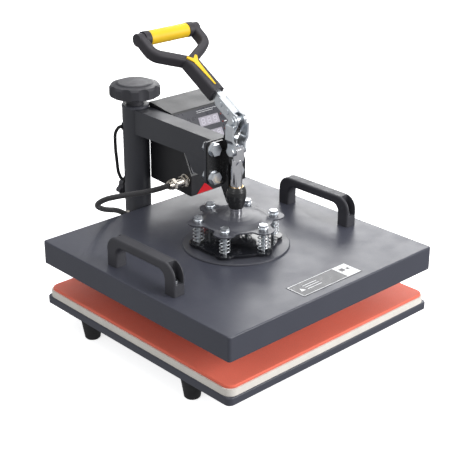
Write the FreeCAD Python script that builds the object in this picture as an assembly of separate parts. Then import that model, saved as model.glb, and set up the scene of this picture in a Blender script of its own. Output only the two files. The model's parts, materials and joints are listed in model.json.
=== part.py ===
"""Swing-away heat press: base and pad, post, arm, toggle lever, heated platen and control box.

Millimetres, +Z up, -Y to the operator. The origin is on the bench, under the middle of the footprint.
"""
import FreeCAD, Part
import math
import os

V = FreeCAD.Vector

# ---- driving dimensions ----
WIDTH = 388.0            # side of the square base plate and of the platen housing
DEPTH = 500.0            # front of the base plate to the rear of the outrigger
FRONT_Y = -DEPTH / 2
PLATEN_Y = FRONT_Y + WIDTH / 2
POST_Y = PLATEN_Y + 219.5
FOOT_H = 30.0
BASE_T = 10.5
SKIN_T = 3.0             # sheet of the base plate
BOARD_T = 10.0
PAD_W = 380.0
PAD_T = 4.0
PAD_TOP = FOOT_H + BASE_T + BOARD_T + PAD_T
OPEN_GAP = 36.5          # pad to hot plate with the lever up
PRESS_TRAVEL = 30.0      # stroke of the plunger
HEIGHT_TRAVEL = 6.0      # height setting, each way
PLATE_BOTTOM = PAD_TOP + OPEN_GAP
PLATE_PROUD = 1.5        # hot plate below the rim of the housing
HOUSING_H = 34.0
HOUSING_Z = PLATE_BOTTOM + PLATE_PROUD
TOP_Z = HOUSING_Z + HOUSING_H

RUN_FIT = 0.05           # radial clearance of shafts and pins
GAP = 0.3                # clearance between faces of separate moving bodies

# ---- post ----
TUBE_R = 20.0
COLLAR_R = 20.6
BORE_R = 17.0
FLANGE_T = 6.0
OUTRIGGER_T = 6.0
OUTRIGGER_W = 140.0
OUTRIGGER_TOP = FOOT_H + BASE_T - SKIN_T
TUBE_BOTTOM = TOP_Z - 62.0
TUBE_TOP = TOP_Z + 155.0
INNER_TOP = TOP_Z + 124.0
CAP_H = 5.0
LOCK_Z = TOP_Z + 12.0

# ---- arm ----
BEAM_X = 13.5
BEAM_BOTTOM = TOP_Z + 114.0
BEAM_WALL = 3.0
END_PLATE_Y = PLATEN_Y + 28.0
END_PLATE_T = 4.0
END_PLATE_X = 31.0
FLANGE_Y = END_PLATE_Y - 5.0
BOLT_X = 21.5
BOLT_Z = (TOP_Z + 98.8, TOP_Z + 140.0)

# ---- toggle, as (y, z) of its three pivots with the lever up ----
EYE = (PLATEN_Y, TOP_Z + 139.4)
CRANK_PIN = (PLATEN_Y - 2.0, TOP_Z + 183.6)
PIVOT = (PLATEN_Y + 6.0, TOP_Z + 169.55)
GRIP_START = (PLATEN_Y + 40.2, TOP_Z + 209.6)
FORK = (PLATEN_Y + 95.0, TOP_Z + 242.6)
FRAME_SLOPE = 34.2       # degrees, plane of the D grip above the horizontal
PIN_R = 4.0
EAR_X = 4.0
PLATE_IN, PLATE_OUT = 4.3, 7.3
LINK_IN, LINK_T = 7.6, 3.0
LINK_BULGE = 12.5
ROD_R = 8.3

# ---- platen springs ----
SPRING_PCR = 54.0
SPRING_COUNT = 6
RING_TOP = TOP_Z + 8.0
SPIDER_Z = TOP_Z + 36.0
SPIDER_T = 2.0

# ---- control box ----
BOX_X0, BOX_X1 = 16.0, 126.0
BOX_T = 2.0
BOX_REAR = PLATEN_Y + 205.0
BOX_PROFILE = [(BOX_REAR, TOP_Z + 38.0), (PLATEN_Y + 113.0, TOP_Z + 33.0),
               (PLATEN_Y + 113.0, TOP_Z + 65.0), (PLATEN_Y + 155.0, TOP_Z + 151.0),
               (BOX_REAR, TOP_Z + 158.0)]
FACE_T = 1.5
COVER_T = 1.5            # rear panel of the box
BUTTON_X = (62.0, 80.0, 98.0)
BUTTON_S = 66.0
BUTTON_R = 5.0
DISPLAY_X = (60.0, 100.0)
DISPLAY_S = ((16.0, 30.5), (38.0, 51.0))
LED_X = 104.0
LED_S = (19.0, 31.0, 42.0)

# ---- cables ----
CABLE_R = 4.0
LEAD_R = 2.5
BOX_GLAND = V(BOX_X0, PLATEN_Y + 125.0, TOP_Z + 56.0)
PLATEN_GLAND = V(-28.0, PLATEN_Y + WIDTH / 2, TOP_Z - 15.0)


# ---- helpers ----
def box(x0, x1, y0, y1, z0, z1):
    return Part.makeBox(x1 - x0, y1 - y0, z1 - z0, V(x0, y0, z0))


def rod(start, end, radius):
    axis = end.sub(start)
    return Part.makeCylinder(radius, axis.Length, start, axis)


def upright(x, y, z0, z1, radius):
    return rod(V(x, y, z0), V(x, y, z1), radius)


def fuse(shapes):
    whole = shapes[0].multiFuse(shapes[1:]) if len(shapes) > 1 else shapes[0]
    return whole.removeSplitter()


def cut(shape, tools):
    return shape.cut(tools).removeSplitter()


def polygon(points):
    return Part.Face(Part.makePolygon(points + [points[0]]))


def prism_x(outline, x0, x1):
    """Extrude an outline of (y, z) points along X."""
    return polygon([V(x0, y, z) for y, z in outline]).extrude(V(x1 - x0, 0, 0))


def prism_z(outline, z0, z1):
    """Extrude an outline of (x, y) points along Z."""
    return polygon([V(x, y, z0) for x, y in outline]).extrude(V(0, 0, z1 - z0))


def edges_along(shape, direction):
    found = []
    for edge in shape.Edges:
        if edge.Curve.TypeId == "Part::GeomLine":
            if abs(edge.Curve.Direction.dot(direction)) > 0.999:
                found.append(edge)
    return found


def rounded_box(x0, x1, y0, y1, z0, z1, radius):
    """A block with its upright edges rounded."""
    block = box(x0, x1, y0, y1, z0, z1)
    return block.makeFillet(radius, edges_along(block, V(0, 0, 1)))


def square_plate(side, z0, z1, radius):
    half = side / 2
    return rounded_box(-half, half, PLATEN_Y - half, PLATEN_Y + half, z0, z1, radius)


def revolve(profile, x, y):
    """Turn (r, z) points about the upright axis through (x, y)."""
    face = polygon([V(x + r, y, z) for r, z in profile])
    return face.revolve(V(x, y, 0), V(0, 0, 1), 360)


def hexagon(centre, axis, flats, height):
    """A hexagonal prism that starts at centre and runs along axis."""
    corner = flats / math.sqrt(3)
    ring = [V(corner * math.cos(math.radians(a)), corner * math.sin(math.radians(a)), 0)
            for a in range(0, 360, 60)]
    prism = polygon(ring).extrude(V(0, 0, height))
    prism.Placement = FreeCAD.Placement(centre, FreeCAD.Rotation(V(0, 0, 1), axis))
    return prism


def strap(start, end, radius, x0, x1):
    """A flat bar with round ends between two (y, z) points, from x0 to x1."""
    (ya, za), (yb, zb) = start, end
    length = math.hypot(yb - ya, zb - za)
    uy, uz = (yb - ya) / length, (zb - za) / length
    body = prism_x([(ya - uz * radius, za + uy * radius), (ya + uz * radius, za - uy * radius),
                    (yb + uz * radius, zb - uy * radius), (yb - uz * radius, zb + uy * radius)], x0, x1)
    ends = [rod(V(x0, y, z), V(x1, y, z), radius) for y, z in (start, end)]
    return fuse([body] + ends)


def flat_bar(start, end, half_height, x0, x1):
    """A square-ended flat bar between two (y, z) points."""
    (ya, za), (yb, zb) = start, end
    length = math.hypot(yb - ya, zb - za)
    oy, oz = -(zb - za) / length * half_height, (yb - ya) / length * half_height
    return prism_x([(ya + oy, za + oz), (ya - oy, za - oz), (yb - oy, zb - oz), (yb + oy, zb + oz)], x0, x1)


def pin_hole(point, radius, reach=40.0):
    y, z = point
    return rod(V(-reach, y, z), V(reach, y, z), radius)


def along(point, other, distance):
    """The (y, z) point at a distance from one point towards another."""
    length = math.hypot(other[0] - point[0], other[1] - point[1])
    return (point[0] + (other[0] - point[0]) / length * distance,
            point[1] + (other[1] - point[1]) / length * distance)


def route_wire(name, points):
    """Straight runs joined by tangent arcs, each arc as large as its two runs allow."""
    edges = []
    start = points[0]
    radii = []
    for before, here, after in zip(points, points[1:], points[2:]):
        into = here.sub(before)
        out = after.sub(here)
        turn = into.getAngle(out)
        setback = 0.45 * min(into.Length, out.Length)
        radius = setback / math.tan(turn / 2)
        radii.append(radius)
        into.normalize()
        out.normalize()
        first = here.sub(into * setback)
        last = here.add(out * setback)
        inward = out.sub(into).normalize()
        middle = here.add(inward * (radius / math.cos(turn / 2) - radius))
        edges.append(Part.LineSegment(start, first).toShape())
        edges.append(Part.Arc(first, middle, last).toShape())
        start = last
    edges.append(Part.LineSegment(start, points[-1]).toShape())
    print(name, "arc radii", [round(r, 1) for r in radii])
    return Part.Wire(edges)


def tube_along(name, points, radius):
    """A round cord along a route, with its volume compared with section times length."""
    path = route_wire(name, points)
    section = Part.Wire(Part.makeCircle(radius, points[0], points[1].sub(points[0])))
    solid = path.makePipeShell([section], True, False)
    expected = math.pi * radius ** 2 * path.Length
    print(name, "length", round(path.Length, 1), "volume ratio", round(solid.Volume / expected, 4))
    return solid


def hex_bolt(seat, axis, thread_r, length, flats, head_h):
    """A bolt whose head sits on seat; the shank runs against axis, the head along it."""
    shank = rod(seat.sub(axis * length), seat.add(axis), thread_r)
    washer = rod(seat, seat.add(axis * 1.2), flats * 0.62)
    return fuse([shank, washer, hexagon(seat.add(axis * 1.2), axis, flats, head_h - 1.2)])


# ---- base ----
FOOT_SPOTS = [(sx * 178.0, PLATEN_Y + sy * 107.0) for sx in (-1, 1) for sy in (-1, 1)]
FOOT_SPOTS += [(sx * 52.0, DEPTH / 2 - 18.0) for sx in (-1, 1)]
FOOT_R = 15.3
SCREW_SEAT = FOOT_H - 7.5
FLANGE_FRONT = PLATEN_Y + WIDTH / 2 + 1.0
POST_BOLTS = [(sx * 38.0, y) for sx in (-1, 1) for y in (POST_Y - 11.0, POST_Y + 47.0)]


def foot_boss(spot, top):
    return upright(spot[0], spot[1], FOOT_H, top, 14.0)


def base_plate():
    top = FOOT_H + BASE_T
    half = WIDTH / 2
    tray = square_plate(WIDTH, FOOT_H, top, 8.0)
    rim = [edge for edge in tray.Edges if abs(edge.BoundBox.ZMin - top) < 0.01]
    tray = tray.makeFillet(1.5, rim)
    hollow = square_plate(WIDTH - 2 * SKIN_T, FOOT_H - 1, top - SKIN_T, 5.0)
    notch = box(-OUTRIGGER_W / 2, OUTRIGGER_W / 2, PLATEN_Y + half - 10, PLATEN_Y + half + 1,
                FOOT_H - 1, top - SKIN_T)
    tray = cut(tray, [hollow, notch])
    ribs = [box(sx * 110.0 - 2, sx * 110.0 + 2, PLATEN_Y - half + 2, PLATEN_Y + half - 2,
                FOOT_H + 1, top - SKIN_T) for sx in (-1, 1)]
    bosses = [foot_boss(spot, top - SKIN_T) for spot in FOOT_SPOTS[:4]]
    holes = [upright(x, y, FOOT_H - 1, top - SKIN_T, 2.6) for x, y in FOOT_SPOTS[:4]]
    return cut(fuse([tray] + ribs + bosses), holes)


def rear_outrigger():
    half = OUTRIGGER_W / 2
    top = OUTRIGGER_TOP
    bottom = top - OUTRIGGER_T
    plate = rounded_box(-half, half, PLATEN_Y + 96, DEPTH / 2, bottom, top, 12.0)
    bosses = [foot_boss(spot, bottom) for spot in FOOT_SPOTS[4:]]
    holes = [upright(x, y, FOOT_H - 1, top + 1, 2.6) for x, y in FOOT_SPOTS[4:]]
    holes += [upright(x, y, bottom - 1, top + 1, 5.1) for x, y in POST_BOLTS]
    return cut(fuse([plate] + bosses), holes)


def rubber_feet():
    feet = []
    for x, y in FOOT_SPOTS:
        cone = revolve([(0, 0), (9.6, 0), (11.0, 1.6), (FOOT_R, FOOT_H - 2), (FOOT_R - 1, FOOT_H),
                        (0, FOOT_H)], x, y)
        feet.append(cut(cone, [upright(x, y, -1, SCREW_SEAT, 5.5), upright(x, y, 0, FOOT_H + 1, 2.6)]))
    return Part.makeCompound(feet)


def foot_screws():
    screws = []
    for x, y in FOOT_SPOTS:
        z = SCREW_SEAT
        head = revolve([(0, z - 3), (4, z - 3), (4.8, z - 2), (4.8, z), (0, z)], x, y)
        slot = box(x - 3, x + 3, y - 0.5, y + 0.5, z - 4, z - 2)
        screws.append(cut(fuse([head, upright(x, y, z - 0.5, OUTRIGGER_TOP - 1, 2.5)]), [slot]))
    return Part.makeCompound(screws)


def post_stand():
    """The fixed inner post, welded to its bolted flange."""
    z0 = OUTRIGGER_TOP
    z1 = z0 + FLANGE_T
    flange = rounded_box(-50, 50, FLANGE_FRONT, FLANGE_FRONT + 86, z0, z1, 10.0)
    flange = cut(flange, [upright(x, y, z0 - 1, z1 + 1, 5.1) for x, y in POST_BOLTS])
    post_r = BORE_R - RUN_FIT
    bore_r = post_r - 4.0
    outline = [(bore_r, z1), (post_r + 7, z1), (post_r + 5, z1 + 2), (post_r, z1 + 7),
               (post_r, INNER_TOP - 1),
               (post_r - 1, INNER_TOP), (5 + RUN_FIT, INNER_TOP), (5 + RUN_FIT, INNER_TOP - 12),
               (bore_r, INNER_TOP - 12)]
    return fuse([flange, revolve(outline, 0, POST_Y)])


def post_bolts():
    seat_z = OUTRIGGER_TOP + FLANGE_T
    under = OUTRIGGER_TOP - OUTRIGGER_T
    pieces = []
    for x, y in POST_BOLTS:
        pieces.append(hex_bolt(V(x, y, seat_z), V(0, 0, 1), 5.0, 20.0, 16.0, 6.2))
        nut = hexagon(V(x, y, under - 7), V(0, 0, 1), 16.0, 7.0)
        pieces.append(cut(nut, [upright(x, y, under - 8, under + 1, 5.02)]))
    return Part.makeCompound(pieces)


def pad_board():
    z0 = FOOT_H + BASE_T
    return square_plate(PAD_W + 4, z0, z0 + BOARD_T, 13.0)


def silicone_pad():
    pad = square_plate(PAD_W, PAD_TOP - PAD_T, PAD_TOP, 12.0)
    rim = [edge for edge in pad.Edges if abs(edge.BoundBox.ZMin - PAD_TOP) < 0.01]
    return pad.makeFillet(1.2, rim)


# ---- post top ----
def thrust_cap():
    z0 = INNER_TOP + 0.1
    return revolve([(0, z0 - 10), (4, z0 - 10), (5, z0 - 9), (5, z0), (12, z0), (12, z0 + CAP_H - 1),
                    (11, z0 + CAP_H), (0, z0 + CAP_H)], 0, POST_Y)


def outer_tube():
    wall = [(BORE_R, TUBE_BOTTOM), (TUBE_R - 1, TUBE_BOTTOM), (TUBE_R, TUBE_BOTTOM + 1),
            (TUBE_R, TUBE_TOP - 1), (BORE_R, TUBE_TOP - 1)]
    boss = rod(V(0, POST_Y + TUBE_R - 1.5, LOCK_Z), V(0, POST_Y + 23.7, LOCK_Z), 8.0)
    tube = fuse([revolve(wall, 0, POST_Y), boss])
    screw_hole = rod(V(0, POST_Y + 10, LOCK_Z), V(0, POST_Y + 30, LOCK_Z), PIN_R + RUN_FIT)
    ports = [grommet_port(z) for z in LEAD_Z]
    return cut(tube, [screw_hole] + ports)


def top_collar():
    """Threaded plug in the tube's mouth, with a rim outside it and three key lugs."""
    ring = [(13.4, TUBE_TOP + 1), (13.4, TUBE_TOP - 10), (8 + RUN_FIT, TUBE_TOP - 10),
            (8 + RUN_FIT, TUBE_TOP - 16),
            (BORE_R, TUBE_TOP - 16), (BORE_R, TUBE_TOP - 1), (TUBE_R, TUBE_TOP - 1), (TUBE_R, TUBE_TOP - 3),
            (COLLAR_R, TUBE_TOP - 3), (COLLAR_R, TUBE_TOP), (COLLAR_R - 1, TUBE_TOP + 1)]
    lugs = []
    for angle in (100, 220, 340):
        lug = box(TUBE_R, 22.5, POST_Y - 3, POST_Y + 3, TUBE_TOP - 3, TUBE_TOP + 0.5)
        lug.rotate(V(0, POST_Y, 0), V(0, 0, 1), angle)
        lugs.append(lug)
    return fuse([revolve(ring, 0, POST_Y)] + lugs)


KNOB_NECK_Z = TOP_Z + 152.0
KNOB_Z = TOP_Z + 163.0
KNOB_R = 38.0


def pressure_knob():
    z = KNOB_Z
    body = revolve([(8.0, KNOB_NECK_Z), (13, KNOB_NECK_Z), (13, z), (20, z + 1.5), (33, z + 5),
                    (KNOB_R - 1, z + 6.5),
                    (KNOB_R, z + 8), (KNOB_R, z + 20), (KNOB_R - 2.5, z + 23), (28, z + 24.6), (27, z + 26),
                    (25, z + 26.8), (0, z + 27.5), (0, z + 14), (8.0, z + 14)], 0, POST_Y)
    flutes = []
    for k in range(9):
        a = math.radians(40 * k + 12)
        spot = (47.5 * math.cos(a), POST_Y + 47.5 * math.sin(a))
        flutes.append(upright(spot[0], spot[1], z + 2, z + 30, 13.0))
    return cut(body, flutes)


def pressure_screw():
    z0 = INNER_TOP + 0.1 + CAP_H + 0.1
    return revolve([(0, z0), (6.5, z0), (8, z0 + 1.5), (8, KNOB_Z + 14), (0, KNOB_Z + 14)], 0, POST_Y)


# ---- lock knob at the back of the post ----
LOCK_Y = POST_Y + 24.0


def lock_knob():
    """Star knob with its clamping screw moulded in."""
    lobes = [rod(V(0, LOCK_Y, LOCK_Z), V(0, LOCK_Y + 12, LOCK_Z), 12.0)]
    for k in range(6):
        a = math.radians(60 * k)
        x, z = 11.5 * math.cos(a), LOCK_Z + 11.5 * math.sin(a)
        lobes.append(rod(V(x, LOCK_Y + 1, z), V(x, LOCK_Y + 11, z), 4.5))
    hub = rod(V(0, LOCK_Y, LOCK_Z), V(0, LOCK_Y + 14, LOCK_Z), 7.0)
    screw = rod(V(0, POST_Y + BORE_R + 0.4, LOCK_Z), V(0, LOCK_Y + 1, LOCK_Z), PIN_R)
    return fuse(lobes + [hub, screw])


# ---- thin lead behind the post ----
LEAD_Z = (TOP_Z + 34.0, TOP_Z + 120.0)
LEAD_ANGLE = math.radians(135)


def at_post(radius, z):
    """A point at a radius from the post's axis, in the upright plane of the lead."""
    return V(radius * math.cos(LEAD_ANGLE), POST_Y + radius * math.sin(LEAD_ANGLE), z)


def grommet_port(z):
    return rod(at_post(10, z), at_post(25, z), LEAD_R + 1.5)


def lead_route():
    low, high = LEAD_Z
    profile = [(17.5, high), (26, high - 1), (32, high - 11), (32.5, high - 32), (31, low + 32),
               (29.5, low + 12), (25, low + 1), (17.5, low)]
    return [at_post(r, z) for r, z in profile]


def rear_lead():
    """The lead and the two rubber grommets that hold its ends in the tube wall."""
    lead = tube_along("rear_lead", lead_route(), LEAD_R)
    pieces = [lead]
    for z in LEAD_Z:
        neck = rod(at_post(BORE_R + 0.6, z), at_post(21.5, z), LEAD_R + 1.5)
        collar = rod(at_post(TUBE_R + 0.1, z), at_post(21.5, z), LEAD_R + 3.0)
        pieces.append(cut(fuse([neck, collar]), [lead]))
    return Part.makeCompound(pieces)


# ---- arm ----
ARM_OUTLINE = [(POST_Y - 8, BEAM_BOTTOM), (POST_Y - 8, TOP_Z + 151.8),
               (END_PLATE_Y + END_PLATE_T, TOP_Z + 148.0),
               (END_PLATE_Y + END_PLATE_T, BEAM_BOTTOM)]
GUSSET_OUTLINE = [(END_PLATE_Y + END_PLATE_T, BEAM_BOTTOM), (END_PLATE_Y + END_PLATE_T, TOP_Z + 89.5),
                  (PLATEN_Y + 74.0, TOP_Z + 90.0), (PLATEN_Y + 93.5, BEAM_BOTTOM)]


def arm_beam():
    """Welded box beam; its rear end is coped to the tube."""
    skin = prism_x(ARM_OUTLINE, -BEAM_X, BEAM_X)
    (y0, z0), (_, z1), (y2, z2), _ = ARM_OUTLINE
    wall = BEAM_WALL
    hollow = prism_x([(y0 + 5, z0 + wall), (y0 + 5, z1 - wall), (y2 - 1, z2 - wall), (y2 - 1, z0 + wall)],
                     -BEAM_X + wall, BEAM_X - wall)
    return cut(skin, [hollow, upright(0, POST_Y, 0, 400, TUBE_R)])


def arm_gusset():
    """Open-topped box under the front of the beam."""
    skin = prism_x(GUSSET_OUTLINE, -BEAM_X, BEAM_X)
    (y0, z0), (_, z1), (y2, z2), (y3, _) = GUSSET_OUTLINE
    wall = BEAM_WALL
    hollow = prism_x([(y0 - 1, z0 + 1), (y0 - 1, z1 + wall), (y2 - wall, z2 + wall),
                      (y3 - wall * 1.4, z0 + 1)],
                     -BEAM_X + wall, BEAM_X - wall)
    return cut(skin, [hollow])


def arm_end_plate():
    y0, y1 = END_PLATE_Y, END_PLATE_Y + END_PLATE_T
    plate = box(-END_PLATE_X, END_PLATE_X, y0, y1, TOP_Z + 89.5, TOP_Z + 150)
    plate = plate.makeFillet(3.0, edges_along(plate, V(0, 1, 0)))
    holes = [rod(V(sx * BOLT_X, y0 - 1, z), V(sx * BOLT_X, y1 + 1, z), 4.1) for sx in (-1,
                                                                                       1) for z in BOLT_Z]
    return cut(plate, holes)


def toggle_guide():
    """Casting that carries the lever pivot above and guides the plunger below."""
    y0, y1 = FLANGE_Y, END_PLATE_Y
    flange = box(-30, 30, y0, y1, TOP_Z + 89.5, TOP_Z + 149)
    flange = flange.makeFillet(6.0, edges_along(flange, V(0, 1, 0)))
    face = PLATEN_Y + 10.0
    web = prism_x([(y0 + 1, TOP_Z + 80), (y0 + 1, TOP_Z + 136), (face, TOP_Z + 136), (face, TOP_Z + 72),
                   (face - 2, TOP_Z + 60), (face + 3, TOP_Z + 60)], -6, 6)
    py, pz = PIVOT
    neck = prism_x([(y0 + 1, TOP_Z + 130), (y0 + 1, TOP_Z + 150), (py + 7.6, pz + 2.5), (face, pz - 4),
                    (face, TOP_Z + 130)], -EAR_X, EAR_X)
    ear = rod(V(-EAR_X, py, pz), V(EAR_X, py, pz), 8.0)
    ribs = [prism_x([(y0 + 1, TOP_Z + 84), (y0 + 1, TOP_Z + 140), (y0 - 6, TOP_Z + 128),
                     (y0 - 6, TOP_Z + 90)],
                    x, x + 3) for x in (-9, 6)]
    barrel = revolve([(0, TOP_Z + 55), (9.2, TOP_Z + 55), (10.2, TOP_Z + 56), (12.2, TOP_Z + 62),
                      (13.6, TOP_Z + 69),
                      (14.1, TOP_Z + 75), (13.9, TOP_Z + 80), (12.8, TOP_Z + 84), (10.8, TOP_Z + 87),
                      (0, TOP_Z + 87)], 0, PLATEN_Y)
    body = fuse([flange, web, neck, ear, barrel] + ribs)
    bore = upright(0, PLATEN_Y, TOP_Z + 50, TOP_Z + 90, ROD_R + RUN_FIT)
    bush_seat = upright(0, PLATEN_Y, TOP_Z + 64, TOP_Z + 90, ROD_R + 2.0)
    holes = [rod(V(sx * BOLT_X, y0 - 1, z), V(sx * BOLT_X, y1 + 1, z), 4.1) for sx in (-1,
                                                                                       1) for z in BOLT_Z]
    return cut(body, [bore, bush_seat, pin_hole(PIVOT, PIN_R)] + holes)


def guide_bush():
    r = ROD_R
    return revolve([(r + RUN_FIT, TOP_Z + 64), (r + 2, TOP_Z + 64), (r + 2, TOP_Z + 87),
                    (r + RUN_FIT, TOP_Z + 87)],
                   0, PLATEN_Y)


def guide_bolts():
    pieces = []
    for sx in (-1, 1):
        for z in BOLT_Z:
            x = sx * BOLT_X
            pieces.append(hex_bolt(V(x, FLANGE_Y, z), V(0, -1, 0), 4.0, 18.0, 16.0, 7.4))
            back = END_PLATE_Y + END_PLATE_T
            nut = hexagon(V(x, back, z), V(0, 1, 0), 13.0, 6.5)
            pieces.append(cut(nut, [rod(V(x, back - 1, z), V(x, back + 8, z), 4.02)]))
    return Part.makeCompound(pieces)


def headed_pin(point, radius, head_r, inner, head_t):
    """A pin across the press with a round head outside each face at +-inner."""
    y, z = point
    reach = inner + head_t
    shank = rod(V(-reach, y, z), V(reach, y, z), radius)
    heads = [rod(V(sx * inner, y, z), V(sx * reach, y, z), head_r) for sx in (-1, 1)]
    return fuse([shank] + heads)


def pivot_pin():
    return headed_pin(PIVOT, PIN_R, 5.5, PLATE_OUT + 0.2, 2.4)


# ---- lever ----
FRAME_DIR = (math.cos(math.radians(FRAME_SLOPE)), math.sin(math.radians(FRAME_SLOPE)))
ARM_X = 48.2
BEND_S = 25.5
BEND_R = 11.0
GRIP_S = 56.8
GRIP_R = 10.3
GRIP_HALF = 34.8


def frame_point(x, s):
    """A point in the plane of the D grip, s mm from its fork."""
    return V(x, FORK[0] + s * FRAME_DIR[0], FORK[1] + s * FRAME_DIR[1])


def rounded_section(centre, side, up, width, height, radius):
    """A rounded rectangle about centre, width along side and height along up."""
    side = V(side).normalize()
    up = V(up).normalize()
    w, h = width / 2 - radius, height / 2 - radius
    edges = []
    corners = [(w, h, 0), (-w, h, 90), (-w, -h, 180), (w, -h, 270)]

    def spot(a, b):
        return centre.add(side * a).add(up * b)

    def arc_point(a, b, degrees):
        t = math.radians(degrees)
        return spot(a + radius * math.cos(t), b + radius * math.sin(t))

    for (a, b, t), (c, d, u) in zip(corners, corners[1:] + corners[:1]):
        edges.append(Part.Arc(arc_point(a, b, t), arc_point(a, b, t + 45),
                              arc_point(a, b, t + 90)).toShape())
        edges.append(Part.LineSegment(arc_point(a, b, t + 90), arc_point(c, d, u)).toShape())
    return Part.Wire(edges)


def lever_plates():
    far = along(CRANK_PIN, GRIP_START, 36.0)
    plates = []
    for x0, x1 in ((-PLATE_OUT, -PLATE_IN), (PLATE_IN, PLATE_OUT)):
        plate = fuse([strap(PIVOT, CRANK_PIN, 8.5, x0, x1), strap(CRANK_PIN, far, 7.5, x0, x1)])
        holes = [pin_hole(PIVOT, PIN_R + RUN_FIT), pin_hole(CRANK_PIN, PIN_R)]
        holes += [pin_hole(spot, 2.5) for spot in rivet_spots()]
        plates.append(cut(plate, holes))
    return Part.makeCompound(plates)


def rivet_spots():
    return [along(CRANK_PIN, GRIP_START, s) for s in (17.0, 32.0)]


BAR_IN_GRIP = 38.0
SHAFT_W, SHAFT_H = 21.0, 22.0


def lever_bar():
    bar = fuse([flat_bar(along(CRANK_PIN, GRIP_START, 7.0), along(GRIP_START, CRANK_PIN, -2.0), 7.0,
                         -4.3, 4.3),
                flat_bar(along(GRIP_START, FORK, -2.0), along(GRIP_START, FORK, BAR_IN_GRIP), 7.0, -4.3,
                         4.3)])
    return cut(bar, [pin_hole(spot, 2.5) for spot in rivet_spots()])


def lever_pins():
    """Crank pin through plates and links, and the two rivets of the bar."""
    pieces = [headed_pin(CRANK_PIN, PIN_R, 4.6, LINK_IN + LINK_T + 0.2, 2.2)]
    pieces += [headed_pin(spot, 2.5, 4.2, PLATE_OUT, 1.5) for spot in rivet_spots()]
    return Part.makeCompound(pieces)


def grip_arm_path(sx):
    """Centre line of one arm, straight to its bend and straight to the bar, and the way it sets off."""
    root, corner, end = frame_point(sx * 2, 1), frame_point(sx * ARM_X, BEND_S), frame_point(sx * ARM_X,
                                                                                             GRIP_S)
    heading = corner.sub(root).normalize()
    bend_start = corner.sub(heading * BEND_R)
    bend_end = corner.add(end.sub(corner).normalize() * BEND_R)
    bend = Part.BezierCurve()
    bend.setPoles([bend_start, corner, bend_end])
    edges = [Part.LineSegment(root, bend_start).toShape(), bend.toShape(),
             Part.LineSegment(bend_end, end).toShape()]
    return Part.Wire(edges), heading


def handle_frame():
    """Moulded D grip: shaft, fork, two arms and the core of the cross bar."""
    x_axis = V(1, 0, 0)
    shaft_dir = V(0, FORK[0] - GRIP_START[0], FORK[1] - GRIP_START[1]).normalize()
    shaft_up = V(0, -shaft_dir.z, shaft_dir.y)
    frame_dir = V(0, FRAME_DIR[0], FRAME_DIR[1])
    frame_up = V(0, -FRAME_DIR[1], FRAME_DIR[0])
    start = V(0, GRIP_START[0], GRIP_START[1])
    fork = frame_point(0, 0)
    middle_up = shaft_up.add(frame_up).normalize()
    sections = [rounded_section(start, x_axis, shaft_up, SHAFT_W, SHAFT_H, 5.0),
                rounded_section(fork.sub(shaft_dir * 12), x_axis, shaft_up, SHAFT_W + 1, SHAFT_H - 1, 5.0),
                rounded_section(fork.add(frame_dir * 3), x_axis, middle_up, SHAFT_W + 4, SHAFT_H - 4, 5.0)]
    solids = [Part.makeLoft(sections, True, True)]
    for sx in (-1, 1):
        path, heading = grip_arm_path(sx)
        section = rounded_section(frame_point(sx * 2, 1), heading.cross(frame_up), frame_up, 13.0, 18.0, 4.5)
        solids.append(path.makePipeShell([section], True, False))
        solids.append(rod(frame_point(sx * (ARM_X - 6.5), GRIP_S),
                          frame_point(sx * (ARM_X + 6.5), GRIP_S), 9.0))
        solids.append(rod(frame_point(sx * (ARM_X - 4), GRIP_S), frame_point(sx * GRIP_HALF, GRIP_S),
                          GRIP_R + 0.4))
    solids.append(rod(frame_point(-ARM_X, GRIP_S), frame_point(ARM_X, GRIP_S), 7.5))
    return cut(fuse(solids), [lever_bar(), handle_inlay()])


def grip_sleeve():
    outer = rod(frame_point(-GRIP_HALF, GRIP_S), frame_point(GRIP_HALF, GRIP_S), GRIP_R)
    rims = [edge for edge in outer.Edges if edge.Curve.TypeId == "Part::GeomCircle"]
    outer = outer.makeFillet(1.5, rims)
    return cut(outer, [rod(frame_point(-ARM_X, GRIP_S), frame_point(ARM_X, GRIP_S), 7.5)])


def handle_inlay():
    """Tapered strip let into the top of the shaft, forked at its upper end."""
    shaft_dir = V(0, FORK[0] - GRIP_START[0], FORK[1] - GRIP_START[1]).normalize()
    shaft_up = V(0, -shaft_dir.z, shaft_dir.y)
    fork = frame_point(0, 0)
    start = V(0, GRIP_START[0], GRIP_START[1]).add(shaft_dir * 9)
    length = fork.sub(start).Length
    floor = start.add(shaft_up * (SHAFT_H / 2 - 2.2))

    def spot(x, s):
        return floor.add(shaft_dir * s).add(V(x, 0, 0))

    outline = [spot(-1.2, 0), spot(1.2, 0), spot(3.2, length * 0.62), spot(4.2, length - 9),
               spot(9.5, length + 1),
               spot(7.0, length + 3), spot(0, length - 3), spot(-7.0, length + 3), spot(-9.5, length + 1),
               spot(-4.2, length - 9), spot(-3.2, length * 0.62)]
    return polygon(outline).extrude(shaft_up * 2.6)


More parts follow.
